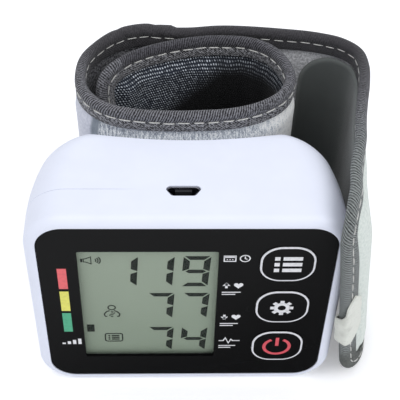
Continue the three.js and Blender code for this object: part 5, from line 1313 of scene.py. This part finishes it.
def hook_patch(finish):
    """A patch with round corners and a soft rim; its cloth holds each point's distance from the rim."""
    start, end = HOOK_START, FLAP_END - HOOK_END_GAP
    half_width, half_height = (end - start) / 2, CUFF_HEIGHT / 2 - HOOK_MARGIN
    a, u = np.meshgrid(np.linspace(-half_width, half_width, HOOK_CELLS[0]),
                       np.linspace(-half_height, half_height, HOOK_CELLS[1]), indexing="ij")

    def past_corner():
        over_a, over_u = np.abs(a) - (half_width - HOOK_CORNER), np.abs(u) - (half_height - HOOK_CORNER)
        return over_a, over_u, (over_a > 0) & (over_u > 0), np.hypot(over_a, over_u)

    # the square grid's corners are pulled in to the rounded outline
    over_a, over_u, both, length = past_corner()
    share = np.where(both, np.maximum(over_a, over_u) / np.where(length > 0, length, 1), 1)
    a = np.where(both, np.sign(a) * (half_width - HOOK_CORNER + over_a * share), a)
    u = np.where(both, np.sign(u) * (half_height - HOOK_CORNER + over_u * share), u)
    *_, both, length = past_corner()
    from_side = np.minimum(half_width - np.abs(a), half_height - np.abs(u))
    inside = np.where(both, HOOK_CORNER - length, from_side)
    along, up = (start + end) / 2 + a, CUFF_HEIGHT / 2 + u
    swell = np.sqrt(np.clip(1 - (1 - np.clip(inside / HOOK_RIM, 0, 1)) ** 2, 0, 1))
    face = HOOK_LOW + (HOOK_HIGH - HOOK_LOW) * (0.25 + 0.75 * swell)
    face = face + wave(along, up, (0.06, 31.0, 80.0, 0.5), (0.04, 14.0, -44.0, 1.4)) * swell
    return closed_sheet("hook_tape_patch", finish, strip(along, up, face), strip(along, up, HOOK_LOW),
                        (along, up, inside))


# The tab's inner face from its outer leg round the fold: past the flap's end, offset, foot, top
TAB_PATH = ((-5.9, 1.42, 22.4, 33.8), (-3.4, 1.42, 20.1, 36.9), (-1.5, 1.44, 18.5, 35.6),
            (-0.4, 1.46, 19.1, 34.3), (0.1, 1.4, 19.3, 32.0), (0.35, 0.7, 19.5, 30.4),
            (0.4, 0.0, 19.6, 29.8), (0.35, -0.7, 19.5, 29.3), (0.1, -1.38, 19.2, 28.9),
            (-0.4, -1.44, 18.9, 28.6), (-2.9, -1.44, 19.1, 28.2), (-5.1, -1.42, 20.1, 27.5))
TAB_THICKNESS, TAB_STEPS = 0.42, 5


def pull_tab(finish):
    """Tape folded over the flap's end, slanting, so that its fold stands open at the top."""
    knots = np.array(TAB_PATH)
    path = smooth_line(knots[:, :2], TAB_STEPS)
    run, way = run_along(path)[:, None], way_along(path)
    at = np.arange(len(path)) / TAB_STEPS
    foot, top = (np.interp(at, np.arange(len(knots)), knots[:, k])[:, None] for k in (2, 3))
    columns = np.linspace(0, 1, 26)[None]
    up = foot + (top - foot) * columns
    dented = TAB_THICKNESS + 0.07 * np.sin(TAU * (columns * 1.7 + run / 9))
    outer, inner = (strip(FLAP_END + path[:, :1] - way[:, 1:] * offset, up,
                          path[:, 1:] + way[:, :1] * offset)
                    for offset in (dented, np.zeros_like(up)))
    made = closed_sheet("end_tab", finish, outer, inner, (run, up, 0.0), 60)
    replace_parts(made, "pull_tab")
    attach(made, "flap")
    return made


def bladder_range(along, _, depth):
    swell = smoothstep(BLADDER_MARGIN, BLADDER_MARGIN + 3, depth)
    return -0.35 - (PUFF - GAP) * (0.5 + 0.45 * swell), np.full(along.shape, -0.3)


def cuff(cover, lining, tape, velvet, sewing, tab, rubber):
    ends = CLOTH_INSET, FLAP_END - CLOTH_INSET
    top = sheet_piece("outer_cloth", cover, *ends, CLOTH_INSET, cover_range, CLOTH_CELLS)
    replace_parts(top, "cuff_cover", "flap_cover")
    under = sheet_piece("inner_cloth", lining, *ends, CLOTH_INSET, lining_range, CLOTH_CELLS)
    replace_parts(under, "cuff_lining", "flap_lining")
    edge = binding(tape)
    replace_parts(edge, "cuff_binding", "flap_binding")
    sewn = stitches(sewing)
    hook = hook_patch(velvet)
    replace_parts(hook, "hook_patch")
    for made in (top, under, edge, sewn, hook):
        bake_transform(made)
    bag = sheet_piece("bladder", rubber, BLADDER_START, BLADDER_END, BLADDER_MARGIN, bladder_range,
                      BLADDER_CELLS)
    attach(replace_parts(bag, "air_bladder"), "monitor")
    pull_tab(tab)


# Inner parts keep their shapes and get their finishes


def inner_finishes():
    board = Finish("board_mask", Specular_IOR_Level=0.5)
    track = board.node("TexBrick", {}, {
        "Vector": board.place(), "Color1": srgb(22, 92, 50), "Color2": srgb(26, 104, 58),
        "Mortar": srgb(60, 140, 84), "Scale": 0.6})
    board.set(Base_Color=track)
    by_slot = {
        "grey_plastic": plastic("grey_moulding", srgb(206, 206, 202), 0.5),
        "dark_plastic": plastic("dark_moulding", srgb(44, 44, 47), 0.5),
        "dark_rubber": plastic("soft_rubber", srgb(40, 40, 42), 0.75, 0.02),
        "silicone": plastic("silicone_tube", srgb(226, 224, 214), 0.5, 0.01),
        "cell_wrap": plastic("cell_sleeve", srgb(104, 140, 178), 0.35),
        "steel": metal("plated_steel", srgb(190, 192, 196)),
        "circuit_board": board.skin((1.0, 2.0, 0.1, 0.3), (2.0, 2.0, 0.03)),
    }
    for part in frame["record"]["subparts"]:
        finish = by_slot.get(part["material_slot"])
        node = frame["nodes"][part["node"]]
        if finish and not node.hide_render:
            node.data.materials.clear()
            node.data.materials.append(finish.material)


camera()
studio()
white = plastic("case_white", srgb(237, 241, 254), 0.42, 0.002, Specular_IOR_Level=0.35)
black = panel_black()
shells(white)
panel(black, window_clear(), lcd_face())
white_ink = ink("white_ink", srgb(236, 236, 238))
keys(black, ink("key_silicone", srgb(232, 232, 236)))
panel_marks(white_ink, ink("red_ink", srgb(240, 104, 108)), ink("yellow_ink", srgb(236, 232, 106)),
            ink("green_ink", srgb(72, 176, 134)))
key_marks(white_ink, ink("signal_red", srgb(226, 74, 88)))
display_marks(ink("segment_ink", srgb(10, 22, 12), Specular_IOR_Level=0.06))
cuff(cover_cloth(), lining_cloth(), tape_twill(), hook_velvet(), thread(), tab_tape(),
     plastic("bladder_rubber", srgb(40, 40, 42), 0.75, 0.02))
port(metal("port_steel", srgb(120, 120, 128)))
inner_finishes()
